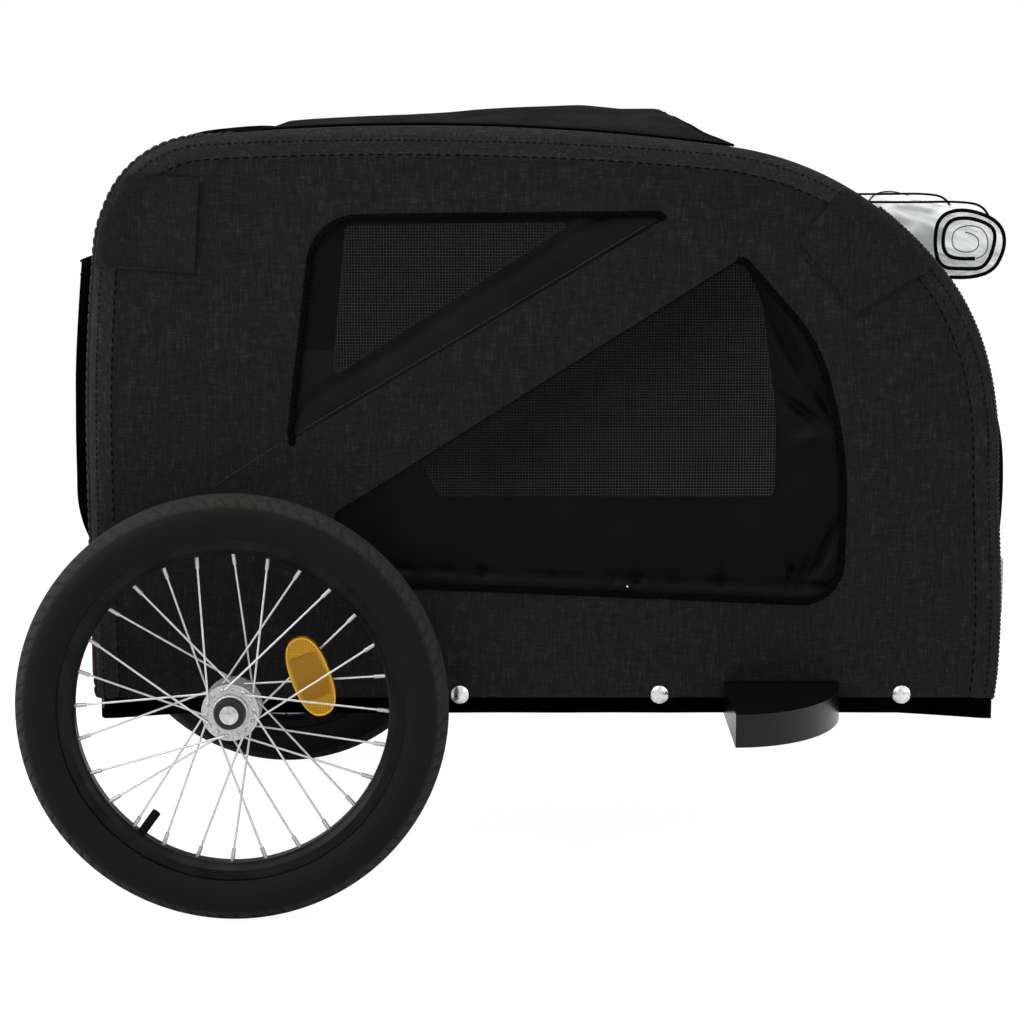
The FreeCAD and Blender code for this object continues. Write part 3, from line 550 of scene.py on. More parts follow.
def net_yarn():
    """Grey polyester net yarn: matt, and painted paler low and forward in the window, as painted light where
    floor light reaches it.
    """
    made, tree, spot = blank("grey_net_yarn")
    along = add(tree, "SeparateXYZ", {"Vector": spot}, "X")
    height = add(tree, "SeparateXYZ", {"Vector": spot}, "Z")
    # Painted light: the yarn's colour is made paler towards the front and towards the bottom
    front = add(tree, "MapRange", {"Value": along, "From Min": -0.02, "From Max": 0.24, "To Max": 0.5})
    low = add(tree, "MapRange", {"Value": height, "From Min": 0.56, "From Max": 0.39, "To Max": 0.5})
    lit = add(tree, "Math", {0: front, 1: low})
    fuzz = speckle(tree, spot, 60.0, 3.0)
    mixed = add(tree, "Math", {0: fuzz, 1: 0.2, 2: lit}, operation="MULTIPLY_ADD")
    bands = ((0.1, "#222222"), (1.1, "#2d2d2d"), (0.45, "#151515"))
    colour = add(tree, "ValToRGB", {"Fac": mixed}, stops=bands)
    return surfaced(made, {"Base Color": colour, "Roughness": 0.9, "Specular IOR Level": 0.1})


def net_ground(name, dark, light):
    """The net's finest mesh, whose holes are too small to draw: nearly black, a little see-through."""
    return mottled(name, 18.0, 2.0, ((0.3, dark), (0.7, light)),
                   {"Roughness": 1.0, "Specular IOR Level": 0.03, "Alpha": 0.95})


def tyre_rubber():
    """Carbon-black tyre rubber, moulded: smooth dark walls, and a tread band painted paler and broken, a
    painted highlight where light catches the tread, over a noise that also raises it.
    """
    made, tree, spot = blank("moulded_tyre_rubber")
    hub = (0.25965, 0, -0.2)
    flat = add(tree, "Mapping", {"Vector": spot, "Location": hub, "Scale": (1, 0, 1)})
    radius = add(tree, "VectorMath", {0: flat}, "Value", operation="LENGTH")
    # Painted highlight: the outer tread band, found by its radius from the hub, is made paler
    tread_zone = add(tree, "MapRange", {"Value": radius, "From Min": 0.1875, "From Max": 0.1915})
    tread_noise = add(tree, "TexNoise", {"Vector": spot, "Scale": 170.0, "Detail": 4.0, "Roughness": 0.65})
    tread_sheen_and_relief = add(tree, "Math", {0: tread_noise, 1: tread_zone}, operation="MULTIPLY")
    colour = add(tree, "ValToRGB", {"Fac": tread_sheen_and_relief}, stops=((0.1, "#0d0d0c"), (0.7, "#282827")))
    inputs = {"Base Color": colour, "Roughness": 0.7, "Specular IOR Level": 0.09}
    return surfaced(made, inputs, tread_sheen_and_relief, 0.0012, 0.7)


def bare_metal(name, dark, light, roughness, size):
    """Metal: even colour with faint cloudy marks that also change its gloss."""
    made, tree, spot = blank(name)
    cloud = add(tree, "TexNoise", {
        "Vector": spot, "Scale": 1000 / size, "Detail": 4.0, "Roughness": 0.6})
    colour = add(tree, "ValToRGB", {"Fac": cloud}, stops=((0.3, dark), (0.7, light)))
    gloss = add(tree, "MapRange", {
        "Value": cloud, "To Min": roughness - 0.06, "To Max": roughness + 0.1})
    return surfaced(made, {"Base Color": colour, "Metallic": 1.0, "Roughness": gloss}, cloud, 0.00003, 0.3)


def hard_black(name, dark, light, roughness, specular, size):
    """Black paint or moulded plastic: a fine skin with a soft sheen."""
    return mottled(name, 1000 / size, 2.0, ((0.3, dark), (0.7, light)),
                   {"Roughness": roughness, "Specular IOR Level": specular}, (0.00012, 0.4))


def lens_plastic(name, dark, light):
    """Moulded acrylic reflector: glossy skin over rows of small prisms, which break the colour into cells."""
    made, tree, spot = blank(name)
    cells = add(tree, "TexVoronoi", {"Vector": spot, "Scale": 385.0, "Randomness": 0.0},
                feature="F1", distance="MANHATTAN")
    colour = add(tree, "ValToRGB", {"Fac": cells}, stops=((0.15, light), (0.75, dark)))
    inputs = {"Base Color": colour, "Roughness": 0.35, "IOR": 1.49, "Specular IOR Level": 0.15}
    return surfaced(made, inputs, cells, 0.0003, 0.25)


def clear_film():
    """Clear PVC film, calendered: crumpled, with painted shade and highlight in its grey-to-white bands, and a
    painted glow for the milky light of the white room through its layers.
    """
    made, tree, spot = blank("clear_pvc_film")
    along = add(tree, "Mapping", {"Vector": spot, "Scale": (1, 0.06, 1)})
    ripple = add(tree, "TexNoise", {
        "Vector": along, "Scale": 55.0, "Detail": 2.0, "Roughness": 0.5, "Distortion": 0.5})
    # Painted shade and highlight: the grey-to-white bands along the roll stand for the crumples' shading
    bands = ((0.3, "#65686a"), (0.65, "#ffffff"), (0.47, "#c8cbcb"))
    colour = add(tree, "ValToRGB", {"Fac": ripple}, stops=bands)
    # The emission is a painted glow: the milky light of the white room through the film's layers
    inputs = {"Base Color": colour, "Roughness": 0.25, "IOR": 1.53, "Alpha": 0.62, "Specular IOR Level": 0.4,
              "Emission Color": colour, "Emission Strength": 0.2}
    return surfaced(made, inputs, ripple, 0.004, 0.8)


def film_faced_ply():
    """Film-faced birch ply: dark brown phenol film with a fine wire-mesh print."""
    made, tree, spot = blank("film_faced_birch_ply")
    cloud = speckle(tree, spot, 24.0, 3.0)
    colour = add(tree, "ValToRGB", {"Fac": cloud}, stops=((0.3, "#171210"), (0.7, "#2a201b")))
    return surfaced(made, {"Base Color": colour, "Roughness": 0.5}, woven(tree, spot, 78, "Y"), 0.0003, 0.5)


MELANGE = melange_cloth("charcoal_melange_polyester", ("#141414", "#2c2c2c", "#191919", "#1e1e1e"))
# The hems take lighter copies of the same melange. This is painted light where the padded hems catch the lamps:
# lightest on the rear and roof hem, less on the front hem.
PAINTED_LIGHT_HEM_MELANGE = melange_cloth("charcoal_melange_painted_light_hem", ("#1d1d1d", "#3a3a3a", "#232323", "#2a2a2a"))
PAINTED_LIGHT_FRONT_HEM_MELANGE = melange_cloth("charcoal_melange_edge_cloth", ("#151515", "#313131", "#1b1b1b", "#212121"))
CHARCOAL = smooth_cloth("charcoal_smooth_polyester", "#1b1b1b", "#232323", 0.0, 0.9)
COATED = smooth_cloth("black_coated_polyester", "#090909", "#0d0d0d", 0.03, 0.45)
# A lighter copy of the border cloth: a painted highlight for the upper border beside the band
BORDER_PAINTED_HIGHLIGHT = smooth_cloth("border_painted_highlight_cloth", "#131313", "#181818", 0.025, 0.8)
CANVAS = smooth_cloth("black_woven_polyester", "#010101", "#040404", 0.0, 0.9)
COVER_CANVAS = smooth_cloth("black_cover_polyester", "#070707", "#0c0c0c", 0.0, 0.9)
ROPE = spun_thread("charcoal_seam_cord", "#181818", "#3e3e3e", 1.2)
CORD = spun_thread("black_cotton_cord", "#010101", "#0c0c0c", 1.6)
THREAD = spun_thread("black_sewing_thread", "#040404", "#0c0c0c")
PALE_THREAD = spun_thread("grey_sewing_thread", "#2c2c2c", "#494949")
BINDING = spun_thread("black_edge_binding", "#030303", "#0c0c0c")
ELASTIC = spun_thread("black_elastic_cord", "#040404", "#101010", 0.6)
TUBE_RUBBER = spun_thread("butyl_tube_rubber", "#0b0b0b", "#161616", 3.0)
NET = net_yarn()
GROUND = net_ground("black_fine_netting", "#181818", "#1f1f1f")
# The upper window's net takes paler, flatter copies of the same yarn and netting: painted light
UPPER_YARN = spun_thread("charcoal_net_yarn", "#242424", "#2b2b2b", 4.0)
UPPER_GROUND = net_ground("charcoal_fine_netting", "#1d1d1d", "#232323")
RUBBER = tyre_rubber()
ANODISED = bare_metal("black_anodised_aluminium", "#141414", "#202020", 0.36, 30.0)
STAINLESS = bare_metal("drawn_stainless_steel", "#b2b3b3", "#c8c9c9", 0.45, 4.0)
ALLOY = bare_metal("turned_aluminium", "#989897", "#bfbfbd", 0.4, 2.0)
CHROME = bare_metal("chrome_plate", "#a2a2a1", "#cfcfce", 0.24, 5.0)
ZINC = bare_metal("bright_zinc_plate", "#b4b4b2", "#dededc", 0.26, 3.0)
BRASS = bare_metal("nickelled_brass", "#a09f9b", "#b9b8b5", 0.42, 3.0)
POWDER = hard_black("black_powder_coat", "#080808", "#0f0f0f", 0.42, 0.3, 1.6)
PLASTIC = hard_black("black_moulded_polypropylene", "#020202", "#050505", 0.22, 0.23, 0.8)
AMBER = lens_plastic("amber_acrylic", "#9c7211", "#bd901b")
# A brighter copy of the amber for the lens's sloped rim: a painted highlight on its edge
AMBER_RIM_HIGHLIGHT = lens_plastic("amber_acrylic_rim_painted_highlight", "#c6981f", "#dcb033")
AMBER_FIELD = lens_plastic("amber_acrylic_field", "#8a6212", "#986e17")
RED = lens_plastic("red_acrylic", "#7d0b0a", "#c31a14")
CLEAR = lens_plastic("clear_acrylic", "#b9bcbd", "#eef0f0")
FILM = clear_film()
FILM_EDGE = spun_thread("grey_film_edge", "#454748", "#707273")
PLY = film_faced_ply()


def fit(obj, body, material, slot, *nodes):
    """Gives a finished piece its material, its body and the solids that it stands for."""
    obj.data.materials.clear()
    obj.data.materials.append(material)
    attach(obj, body)
    if nodes:
        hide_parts(*nodes)
    return obj


def pair(obj, body, material, slot, node=None, by_side=True):
    """Fits a right-hand piece and its copy on the left."""
    made = [obj, other_side(obj)]
    for one, side in zip(made, ("right", "left")):
        nodes = [] if node is None else [node + "_" + side if by_side else node]
        fit(one, body if body == "frame" else body + "_" + side, material, slot, *nodes)
    return made


def cut_pair(name, cut, rule, mm, angle, material, slot, node):
    """Cloth for both sides: cut flat, measured, laid by a rule and given its thickness."""
    sheet = flat_cut(name, *cut)
    size = area_of(sheet)
    thicken(shape(sheet, rule), mm)
    return pair(smooth(sheet, angle), "frame", material, slot, node), size


def dress(material, *names):
    """A new finish for solids that keep their own shape."""
    for name in names:
        mesh = NODES[name].data
        mesh.materials.clear()
        mesh.materials.append(material)


def sides(stem):
    return stem + "_right", stem + "_left"


# Cords and stitches that are used again

ROPE_BEAD = bead_of("rope_bead", 10.5, 1.8, 10)
TIGHT_BEAD = bead_of("tight_bead", 5.8, 1.8, 26, 5, 7)
FINE_BEAD = bead_of("fine_bead", 7.0, 3.9, 35, 5, 8)
shape(FINE_BEAD, lambda p: Vector((p.x, p.y * 0.6, p.z)))
STITCH = bead_of("stitch", 6.0, 0.75, 0, 4, 6)
SHORT_STITCH = bead_of("short_stitch", 3.4, 0.6, 0, 4, 6)
PALE_STITCH = bead_of("pale_stitch", 1.9, 0.45, 0, 4, 6)
ZIP_TOOTH = bead_of("zip_tooth", 2.6, 1.1, 0, 4, 6)


def stitched(name, rows):
    """Rows of stitches as one piece, from (stitch, pitch, line of points in metres)."""
    return join(name, [strung(name + "_row", bead, line, pitch) for bead, pitch, line in rows])


# Side panels: charcoal cloth with two window openings and the band between them

def hem_lift(d):
    """How far the padded hem stands out, d millimetres inside the edge."""
    return 4.6 * math.sin(math.pi * clamp(d / HEM_TUBE) ** 0.75)


def side_cloth(p):
    """Stretched cloth: padded hems between the rows of stitches, slow waves in the middle, only outwards."""
    x, y, z = out_of(p)
    d = depth_in(x, z)
    wave = noise.noise(Vector((x * 0.007, 3.1, z * 0.007))) * 0.6
    wave += noise.noise(Vector((x * 0.019, 8.7, z * 0.015))) * 0.4
    lift = hem_lift(d) if d < HEM_TUBE else clamp((d - HEM_TUBE) / 10) * (0.7 + 0.5 * wave)
    return Vector((p.x, -0.001 * (HALF + max(0.0, lift)), p.z))


def hem_row(line):
    """A row of stitches on the padded hem."""
    return [place(x, -HALF - 0.15 - hem_lift(depth_in(x, z)), z) for x, z in line]


upper_hole = soft_corners(UPPER_WINDOW)
lower_hole = soft_corners(LOWER_WINDOW)
hem_edge = cover_line(-HEM_TUBE, 4.5)
holes = (upper_hole, lower_hole)
panels, panel_area = cut_pair("side_cloth_right", (hem_edge, holes, 4.0), side_cloth, 2.0, 35,
                              MELANGE, "charcoal_cloth", "side_panel")
edge = cover_line()
cut = len(edge) - len(front_line()) + 13
hems = []
# Both hem strips take a lighter copy of the panel's melange: painted light on the padded hems.
for name, run, cloth, flat in (("rear", slice(0, cut + 1), PAINTED_LIGHT_HEM_MELANGE, (1.32, 0.026)),
                               ("front", slice(cut, None), PAINTED_LIGHT_FRONT_HEM_MELANGE, (0.62, 0.022))):
    made, size = cut_pair(name + "_hem_right", (edge[run] + hem_edge[run][::-1], (), 3.0), side_cloth, 2.0, 35,
                          cloth, "charcoal_cloth", "side_panel")
    hems += [(one, flat, size) for one in made]

rope = join("seam_rope_right", [
    strung("rope_a", ROPE_BEAD, side_route(rear_line(1.3) + roof_line(0.4)[1:3], -254.0), 8.8),
    strung("rope_b", TIGHT_BEAD, side_route(front_line(1.4)[12:], -254.0), 4.3),
    tube("rope_core", side_route(cover_line(), -253.8), 1.0, 2)])
pair(rope, "frame", ROPE, "charcoal_cloth", "seam_piping", False)

rows = stitched("seam_stitches_right", [
    (SHORT_STITCH, 6.2, hem_row(cover_line(-7.5, 5.0))), (STITCH, 8.8, hem_row(hem_edge))])
pair(rows, "frame", THREAD, "black_cloth")
pale = stitched("band_stitches_right", [
    (PALE_STITCH, 3.0, side_route([(-16.5, 401), (41, 438)], BAND_ROW_Y)),
    (PALE_STITCH, 3.0, side_route([(62, 450.7), (380, 639.8)], -255.3))])
pair(pale, "frame", PALE_THREAD, "charcoal_cloth")

# Window cords: fuzzy black piping on the sewn edges of the openings


def inset(line, d):
    """An open line moved to its left by d millimetres."""
    moved = []
    for k, p in enumerate(line):
        way = (Vector(line[min(k + 1, len(line) - 1)]) - Vector(line[max(k - 1, 0)])).normalized()
        moved.append(Vector(p) + d * Vector((-way.y, way.x)))
    return moved


upper_edge = inset(even(upper_hole[5:27], 3.0), -2.8)
upper_edge.insert(0, upper_edge[0] + Vector((-1.0, -8.5)))
lower_edge = inset(even(lower_hole[:55], 3.0), 2.8)
window_cord = join("window_cord_right", [
    strung("cord_a", FINE_BEAD, side_route(upper_edge, CORD_Y), 4.4),
    strung("cord_b", FINE_BEAD, side_route(lower_edge, CORD_Y), 4.4)])
pair(window_cord, "frame", CORD, "black_cloth", "window_piping", False)

# Window borders: smooth black cloth with slack folds, sewn behind the openings. Beside the band and low down,
# the upper border is painted lighter as a painted highlight.

# Creases of the slack border as x, z, slope, half width, half length, depth
CREASES = ((526, 470, -35, 5, 22, 10), (549, 477, -60, 5, 13, 8), (538, 444, 8, 7, 19, -8),
           (514, 531, -62, 8, 50, 9), (519, 315, 80, 4, 14, 8), (531, 318, 70, 4, 16, 8),
           (543, 322, 55, 4, 18, 8), (553, 345, 60, 5, 20, 6), (229, 315, 95, 4, 9, 4),
           (353, 313, 85, 4, 11, 4), (376, 311, 100, 4, 9, 4), (455, 312, 90, 5, 12, 3.5))


def below_net(x, z):
    """How far a point lies below the upper net's slanting edge, towards the band."""
    (x0, z0), (x1, z1) = UPPER_NET[0][:2], UPPER_NET[2][:2]
    return ((x - x0) * (z1 - z0) - (z - z0) * (x1 - x0)) / math.hypot(x1 - x0, z1 - z0)


def gathers(p):
    """Slack cloth: a tape along the bottom with a pucker above it, a roll by the band, listed creases."""
    x, y, z = out_of(p)
    bottom = 306 - (x - 84) * 0.045
    tape = clamp((bottom + 14 - z) / 3)
    uneven = 3.0 + 1.6 * math.sin(x * 0.11 + 2 * math.sin(x * 0.031))
    pucker = math.exp(-((z - bottom - 18) / 4) ** 2) * uneven
    deep = 1.0 + noise.noise(Vector((x * 0.012, 1.7, z * 0.02))) + pucker
    s = below_net(x, z)
    if -2 < s < 40:
        deep = 2.0 + 3.0 * math.exp(-((s - 7) / 5) ** 2) - 2.0 * clamp((s - 8) / 12)
    for cx, cz, slope, wide, long, depth in CREASES:
        cos, sin = math.cos(math.radians(slope)), math.sin(math.radians(slope))
        u = ((z - cz) * cos - (x - cx) * sin) / wide
        v = ((x - cx) * cos + (z - cz) * sin) / long
        deep += depth * math.exp(-u * u - v * v)
    return Vector((p.x, 0.001 * (BORDER_Y + min(deep, 13.0) * (1 - tape) - 1.0 * tape), p.z))


borders = []
for name, edge, inner in (("upper", upper_hole, UPPER_NET), ("lower", lower_hole, LOWER_NET)):
    made, size = cut_pair(name + "_border_right", (edge, (soft_corners(inner),), 2.5), gathers, 0.9, 60,
                          COATED, "black_cloth", "window_border")
    # Painted highlight: faces beside the band and below 524 mm take the lighter copy of the border cloth
    for one in made if name == "upper" else ():
        one.data.materials.append(BORDER_PAINTED_HIGHLIGHT)
        for face in one.data.polygons:
            x, y, z = out_of(face.center)
            face.material_index = int(below_net(x, z) > 0 or z < 524)
    borders += [(one, size) for one in made]

studs = []
for x in (217.0, 366.0):
    studs.append(begin("stud", bpy.ops.mesh.primitive_uv_sphere_add, segments=16, ring_count=8, radius=0.0011,
                       location=place(x, CORD_Y, 304)))
    settle(studs[-1])
tape_studs = smooth(join("tape_studs_right", studs), 80)
pair(tape_studs, "frame", ZINC, "bright_steel")

# Nets of the windows: square threads over a fine ground, cut to the opening

grounds = []
for name, outline in (("upper", UPPER_NET), ("lower", LOWER_NET)):
    loop = soft_corners(outline)
    xs = [p[0] for p in loop]
    zs = [p[1] for p in loop]
    cutter = flat_cut("net_cutter", loop, (), 400)
    thicken(cutter, 20.0, 0)
    cutter.location = (0, -0.2538, 0)
    settle(cutter)
    sets = threads((min(xs) - 2, max(xs) + 2), (min(zs) - 2, max(zs) + 2), NET_PITCH, NET_GAUGE)
    for thread in sets:
        shape(thread, lambda p: place(p.x, NET_Y - p.z, p.y))
        hold(thread)
        bpy.ops.mesh.normals_make_consistent(inside=False)
        let_go()
        work(thread, "BOOLEAN", object=cutter, operation="INTERSECT", solver="EXACT")
    bpy.data.objects.remove(cutter)
    # The upper net takes the paler copies: painted light
    yarn, fine = (UPPER_YARN, UPPER_GROUND) if name == "upper" else (NET, GROUND)
    pair(join(name + "_net_right", sets), "frame", yarn, "black_mesh", "window_mesh")
    ground = flat_cut(name + "_ground_right", loop, (), 40, GROUND_Y)
    size = area_of(ground)
    thicken(ground, 0.2, 0)
    grounds += [(one, size) for one in pair(ground, "frame", fine, "black_mesh", "window_mesh")]

# Corner patches: the same cloth, sewn on flat


def drawn_in(points, step=4.0):
    """A closed outline kept just inside the edge of the cover."""
    loop = []
    for x, z in even([*points, points[0]], step)[:-1]:
        bow = -rear_bow(z) if x < 200 else front_bow(z)
        p = Vector((x - bow, z))
        centre, r = (Vector(REAR_C), REAR_R) if x < 200 else (Vector(FRONT_C), FRONT_R)
        if (p - centre).length > r - 1.5 and p.y > centre.y and abs(p.x - ROOF_X) > abs(centre.x - ROOF_X):
            p = centre + (p - centre).normalized() * (r - 1.5)
        loop.append((max(p.x, REAR_X + 1.5) + bow, p.y))
    return loop


patch_pieces = []
for name, points, proud in (("rear", REAR_PATCH, 2.6), ("front", FRONT_PATCH, 0.6)):
    cloth = flat_cut(name + "_patch_right", drawn_in(points), (), 5.0)
    size = area_of(cloth)
    free_x = max(p[0] for p in points)

    def lie(p, free_x=free_x, proud=proud):
        """The free edge stands off the panel, the sewn edges lie on it."""
        x, y, z = out_of(p)
        free = max(0.0, 1 - abs(x - free_x) / 60)
        return Vector((p.x, 0.001 * (PATCH_Y - proud * free ** 2 - 0.8 * hem_lift(depth_in(x, z))), p.z))

    shape(cloth, lie)
    thicken(cloth, 1.4)
    work(cloth, "BEVEL", width=0.0004, segments=2, limit_method="ANGLE")
    made = pair(smooth(cloth, 50), "frame", MELANGE, "charcoal_cloth", "corner_patches", False)
    patch_pieces += [(one, size) for one in made]
patch_rows = (((-104, 605), (-37, 601)), ((578, 561), (632, 594)), ((523, 623), (574, 561)))
rows = [(PALE_STITCH, 3.0, side_route(row, PATCH_Y - 0.8)) for row in patch_rows]
pair(stitched("patch_stitches_right", rows), "frame", THREAD, "black_cloth")

# Roof, rear and front: strips that follow the side outline across the cabin

def roof_crown(x, y):
    """The roof cloth's own bulge behind the flap's sewn edge."""
    return 5.5 * math.exp(-((x + 22) / 38) ** 4) * (1 - min(1.0, abs(y / CROSS_HALF)) ** 4)


roof, roof_run = strip("roof_cloth", rear_line()[-6:] + roof_line()[1:], CROSS_HALF, 80, 84)
open_up(roof, lambda c: ROOF_OPEN[0] < out_of(c)[0] < ROOF_OPEN[1] and abs(out_of(c)[1]) < ROOF_OPEN[2])


def roof_sag(p):
    """The roof cloth hangs a little between its bars."""
    x, y, z = out_of(p)
    span = max(0.0, 1 - ((x - 232) / 285) ** 2) * max(0.0, 1 - (y / CROSS_HALF) ** 2)
    return p + Vector((0, 0, 0.001 * roof_crown(x, y) - 0.0012 * span * (0.6 + 0.4 * math.sin(x * 0.05))))


fit(backed(shape(roof, roof_sag), (0, 0, 1), 2.0), "frame", COVER_CANVAS, "black_cloth", "roof_panel")

rear, rear_run = strip("rear_cloth", rear_line()[:-5], CROSS_HALF, 62, 60)


def rear_slack(p):
    """The rear cloth gives inwards in its middle."""
    x, y, z = out_of(p)
    middle = max(0.0, 1 - (y / CROSS_HALF) ** 2) * max(0.0, 1 - ((z - 420) / 230) ** 2)
    return p + Vector((0.0016 * middle * (0.6 + 0.4 * noise.noise(Vector((y * 0.006, z * 0.006, 4.2)))), 0, 0))


fit(backed(shape(rear, rear_slack), (-1, 0, 0), 2.0), "frame", MELANGE, "charcoal_cloth", "rear_panel")


def front_belly(y, z):
    """How far the slack front cloth stands forward of its sewn sides."""
    across = math.sin(math.pi / 2 * clamp((CROSS_HALF - abs(y)) / 22))
    return 11.0 * across * max(0.0, 1 - ((z - 408) / 84) ** 2)


front, front_run = strip("front_cloth", front_line(), CROSS_HALF, 92, 126)
open_up(front, lambda c: abs(out_of(c)[1]) < 198 and 240 < out_of(c)[2] < 546)
shape(front, lambda p: p + Vector((0.001 * front_belly(*out_of(p)[1:]), 0, 0)))
fit(backed(front, (1, 0, 0.3), 2.0), "frame", COVER_CANVAS, "black_cloth", "front_panel")

# Front door: a bordered net that zips shut


def front_at(y, s, out=0.0):
    """A point on the front face, s millimetres up from the hem along the cloth."""
    straight = FRONT_C[1] - HEM_Z
    x, z = FRONT_X + out, HEM_Z + s
    if s > straight:
        x, z = arc(FRONT_C, FRONT_R + out, math.degrees((s - straight) / FRONT_R), 0, 1)[0]
    return place(x + front_bow(z) + front_belly(y, z), y, z)


def rise_to(z):
    """Length of cloth from the hem up to a height on the front face."""
    if z <= FRONT_C[1]:
        return z - HEM_Z
    return FRONT_C[1] - HEM_Z + FRONT_R * math.asin((z - FRONT_C[1]) / FRONT_R)


DOOR_HALF = 196.3
DOOR_LOW = rise_to(241.5)
DOOR_HIGH = rise_to(545.2)
BORDER = 36.0


def on_door(half, low, high, out):
    """Lays a flat grid on the front face."""
    return lambda p: front_at(p.x * 2 * half, low + (high - low) * (p.y + 0.5), out)


low_net, high_net = DOOR_LOW + BORDER, DOOR_HIGH - BORDER
door = grid("door_border", 66, 54, lambda p: Vector((p.x, p.y, 0)))
tall = DOOR_HIGH - DOOR_LOW
open_up(door, lambda c: abs(c.x) * 2 * DOOR_HALF < DOOR_HALF - BORDER and abs(c.y) * tall < tall / 2 - BORDER)
shape(door, on_door(DOOR_HALF, DOOR_LOW, DOOR_HIGH, -0.4))
fit(backed(door, (1, 0, 0.2), 1.6), "front_door", COATED, "black_cloth", "front_door_border")

net_half = DOOR_HALF - BORDER + 3
sets = threads((-net_half, net_half), (low_net - 3, high_net + 3), NET_PITCH, NET_GAUGE, 10)
for thread in sets:
    shape(thread, lambda p: front_at(p.x, p.y, -1.8 + p.z))
door_net = weld(join("door_net", sets), 0.000001)
fit(door_net, "front_door", NET, "black_mesh", "front_door_mesh")
door_ground = grid("door_ground", 40, 40, on_door(net_half, low_net - 3, high_net + 3, -2.6))
fit(backed(door_ground, (1, 0, 0.2), 0.2), "front_door", GROUND, "black_mesh", "front_door_mesh")


def zip_line(half, low):
    """Up one side of the doorway, along its foot and up the other."""
    foot = [front_at(y, low - 0.8, 0.4) for y in range(1 - int(half), int(half), 6)]
    down = [front_at(-half, rise, 0.4) for rise in range(int(DOOR_HIGH), int(low), -6)]
    return down + foot + [front_at(half, rise, 0.4) for rise in range(int(low) + 2, int(DOOR_HIGH), 6)]


fit(strung("door_zip", ZIP_TOOTH, zip_line(197.2, DOOR_LOW), 3.0), "front_door", BINDING, "black_cloth")
fit(strung("doorway_zip", ZIP_TOOTH, zip_line(200.4, DOOR_LOW - 3.0), 3.0), "frame", BINDING, "black_cloth")

# Roof net under the flap, and the flap itself

sets = threads((70.5, 394.5), (-184.5, 184.5), 2.9, NET_GAUGE, 2)
for thread in sets:
    hold(thread)
    for k in range(1, 12):
        bpy.ops.mesh.select_all(action="SELECT")
        bpy.ops.mesh.bisect(plane_co=(70 + 27 * k, 0, 0), plane_no=(1, 0, 0))
    let_go()
    shape(thread, lambda p: place(p.x, p.y, roof_height(p.x, 1.6) + p.z))
roof_net = weld(join("roof_net", sets), 0.000001)
fit(roof_net, "frame", NET, "black_mesh", "roof_mesh")


def under_net(p):
    """The fine ground lies just under the threads."""
    x, y = 232.5 + 324 * p.x, 369 * p.y
    return place(x, y, roof_height(x, 2.6))


roof_ground = grid("roof_ground", 30, 30, under_net)
fit(backed(roof_ground, (0, 0, 1), 0.2), "frame", GROUND, "black_mesh", "roof_mesh")

# Rise of the flap's middle above the roof, as (share of its length, millimetres)
FLAP_RISE = ((0, 1), (0.025, 6.3), (0.075, 6.8), (0.18, 7.1), (0.23, 7.3), (0.28, 7.9), (0.385, 10.5),
             (0.6, 18.5), (0.745, 22), (0.85, 21.5), (0.91, 23.5), (0.955, 24.5), (1, 15))


def flap_shape(p):
    """Slack cloth: it rises in a slow crown with a dip, then drops to a bowed free edge with loose waves."""
    t = p.x + 0.5
    y = p.y * 2 * FLAP[2]
    across = 1 - abs(y / FLAP[2]) ** 2.4
    x = FLAP[0] + (FLAP[1] - FLAP[0]) * t - 66 * across * max(0.0, t - 0.4)
    k = max(j for j, spot in enumerate(FLAP_RISE[:-1]) if spot[0] <= t)
    (t0, z0), (t1, z1) = FLAP_RISE[k:k + 2]
    free = max(0.0, (t - 0.45) / 0.55) ** 2
    wave = math.sin(y * 0.045 + 0.6) * 1.4 + math.sin(y * 0.021 + x * 0.02) * 1.0
    side = noise.noise(Vector((x * 0.02, y * 0.012, 6.0))) * 1.2 * t
    lift = (z0 + (z1 - z0) * (t - t0) / (t1 - t0)) * across + max(0.0, across) * (free * wave + side)
    hem = 0.7 if t > 0.965 or abs(y) > FLAP[2] - 12 else 0.0
    return place(x, y, roof_height(x) + 1.6 + max(0.2, lift) + hem)


flap = grid("roof_flap_cloth", 72, 84, flap_shape)
fit(backed(flap, (0, 0, 1), 1.4, 50), "roof_flap", CHARCOAL, "charcoal_cloth", "roof_flap")
flap_rows = []
for margin in (6.0, 12.0):
    ends = [(FLAP[0] + 4, -FLAP[2] + margin), (FLAP[1] - margin, -FLAP[2] + margin),
            (FLAP[1] - margin, FLAP[2] - margin), (FLAP[0] + 4, FLAP[2] - margin)]
    line = []
    for x, y in even(ends, 6.0):
        t = (x - FLAP[0]) / (FLAP[1] - FLAP[0]) - 0.5
        line.append(flap_shape(Vector((t, y / 2 / FLAP[2], 0))) + Vector((0, 0, 0.0003)))
    flap_rows.append((PALE_STITCH, 3.0, line))
fit(stitched("flap_stitches", flap_rows), "roof_flap", THREAD, "black_cloth")
ends = [(-0.5, -0.5), (0.5, -0.5), (0.5, 0.5), (-0.5, 0.5)]
flap_edge = [flap_shape(Vector((*spot, 0))) for spot in even(ends, 0.0125)]
fit(tube("flap_binding", flap_edge, 1.1, 2), "roof_flap", BINDING, "black_cloth")

# Rear pocket: a bag with upright gussets, sewn on at its bottom and sides, open at its top


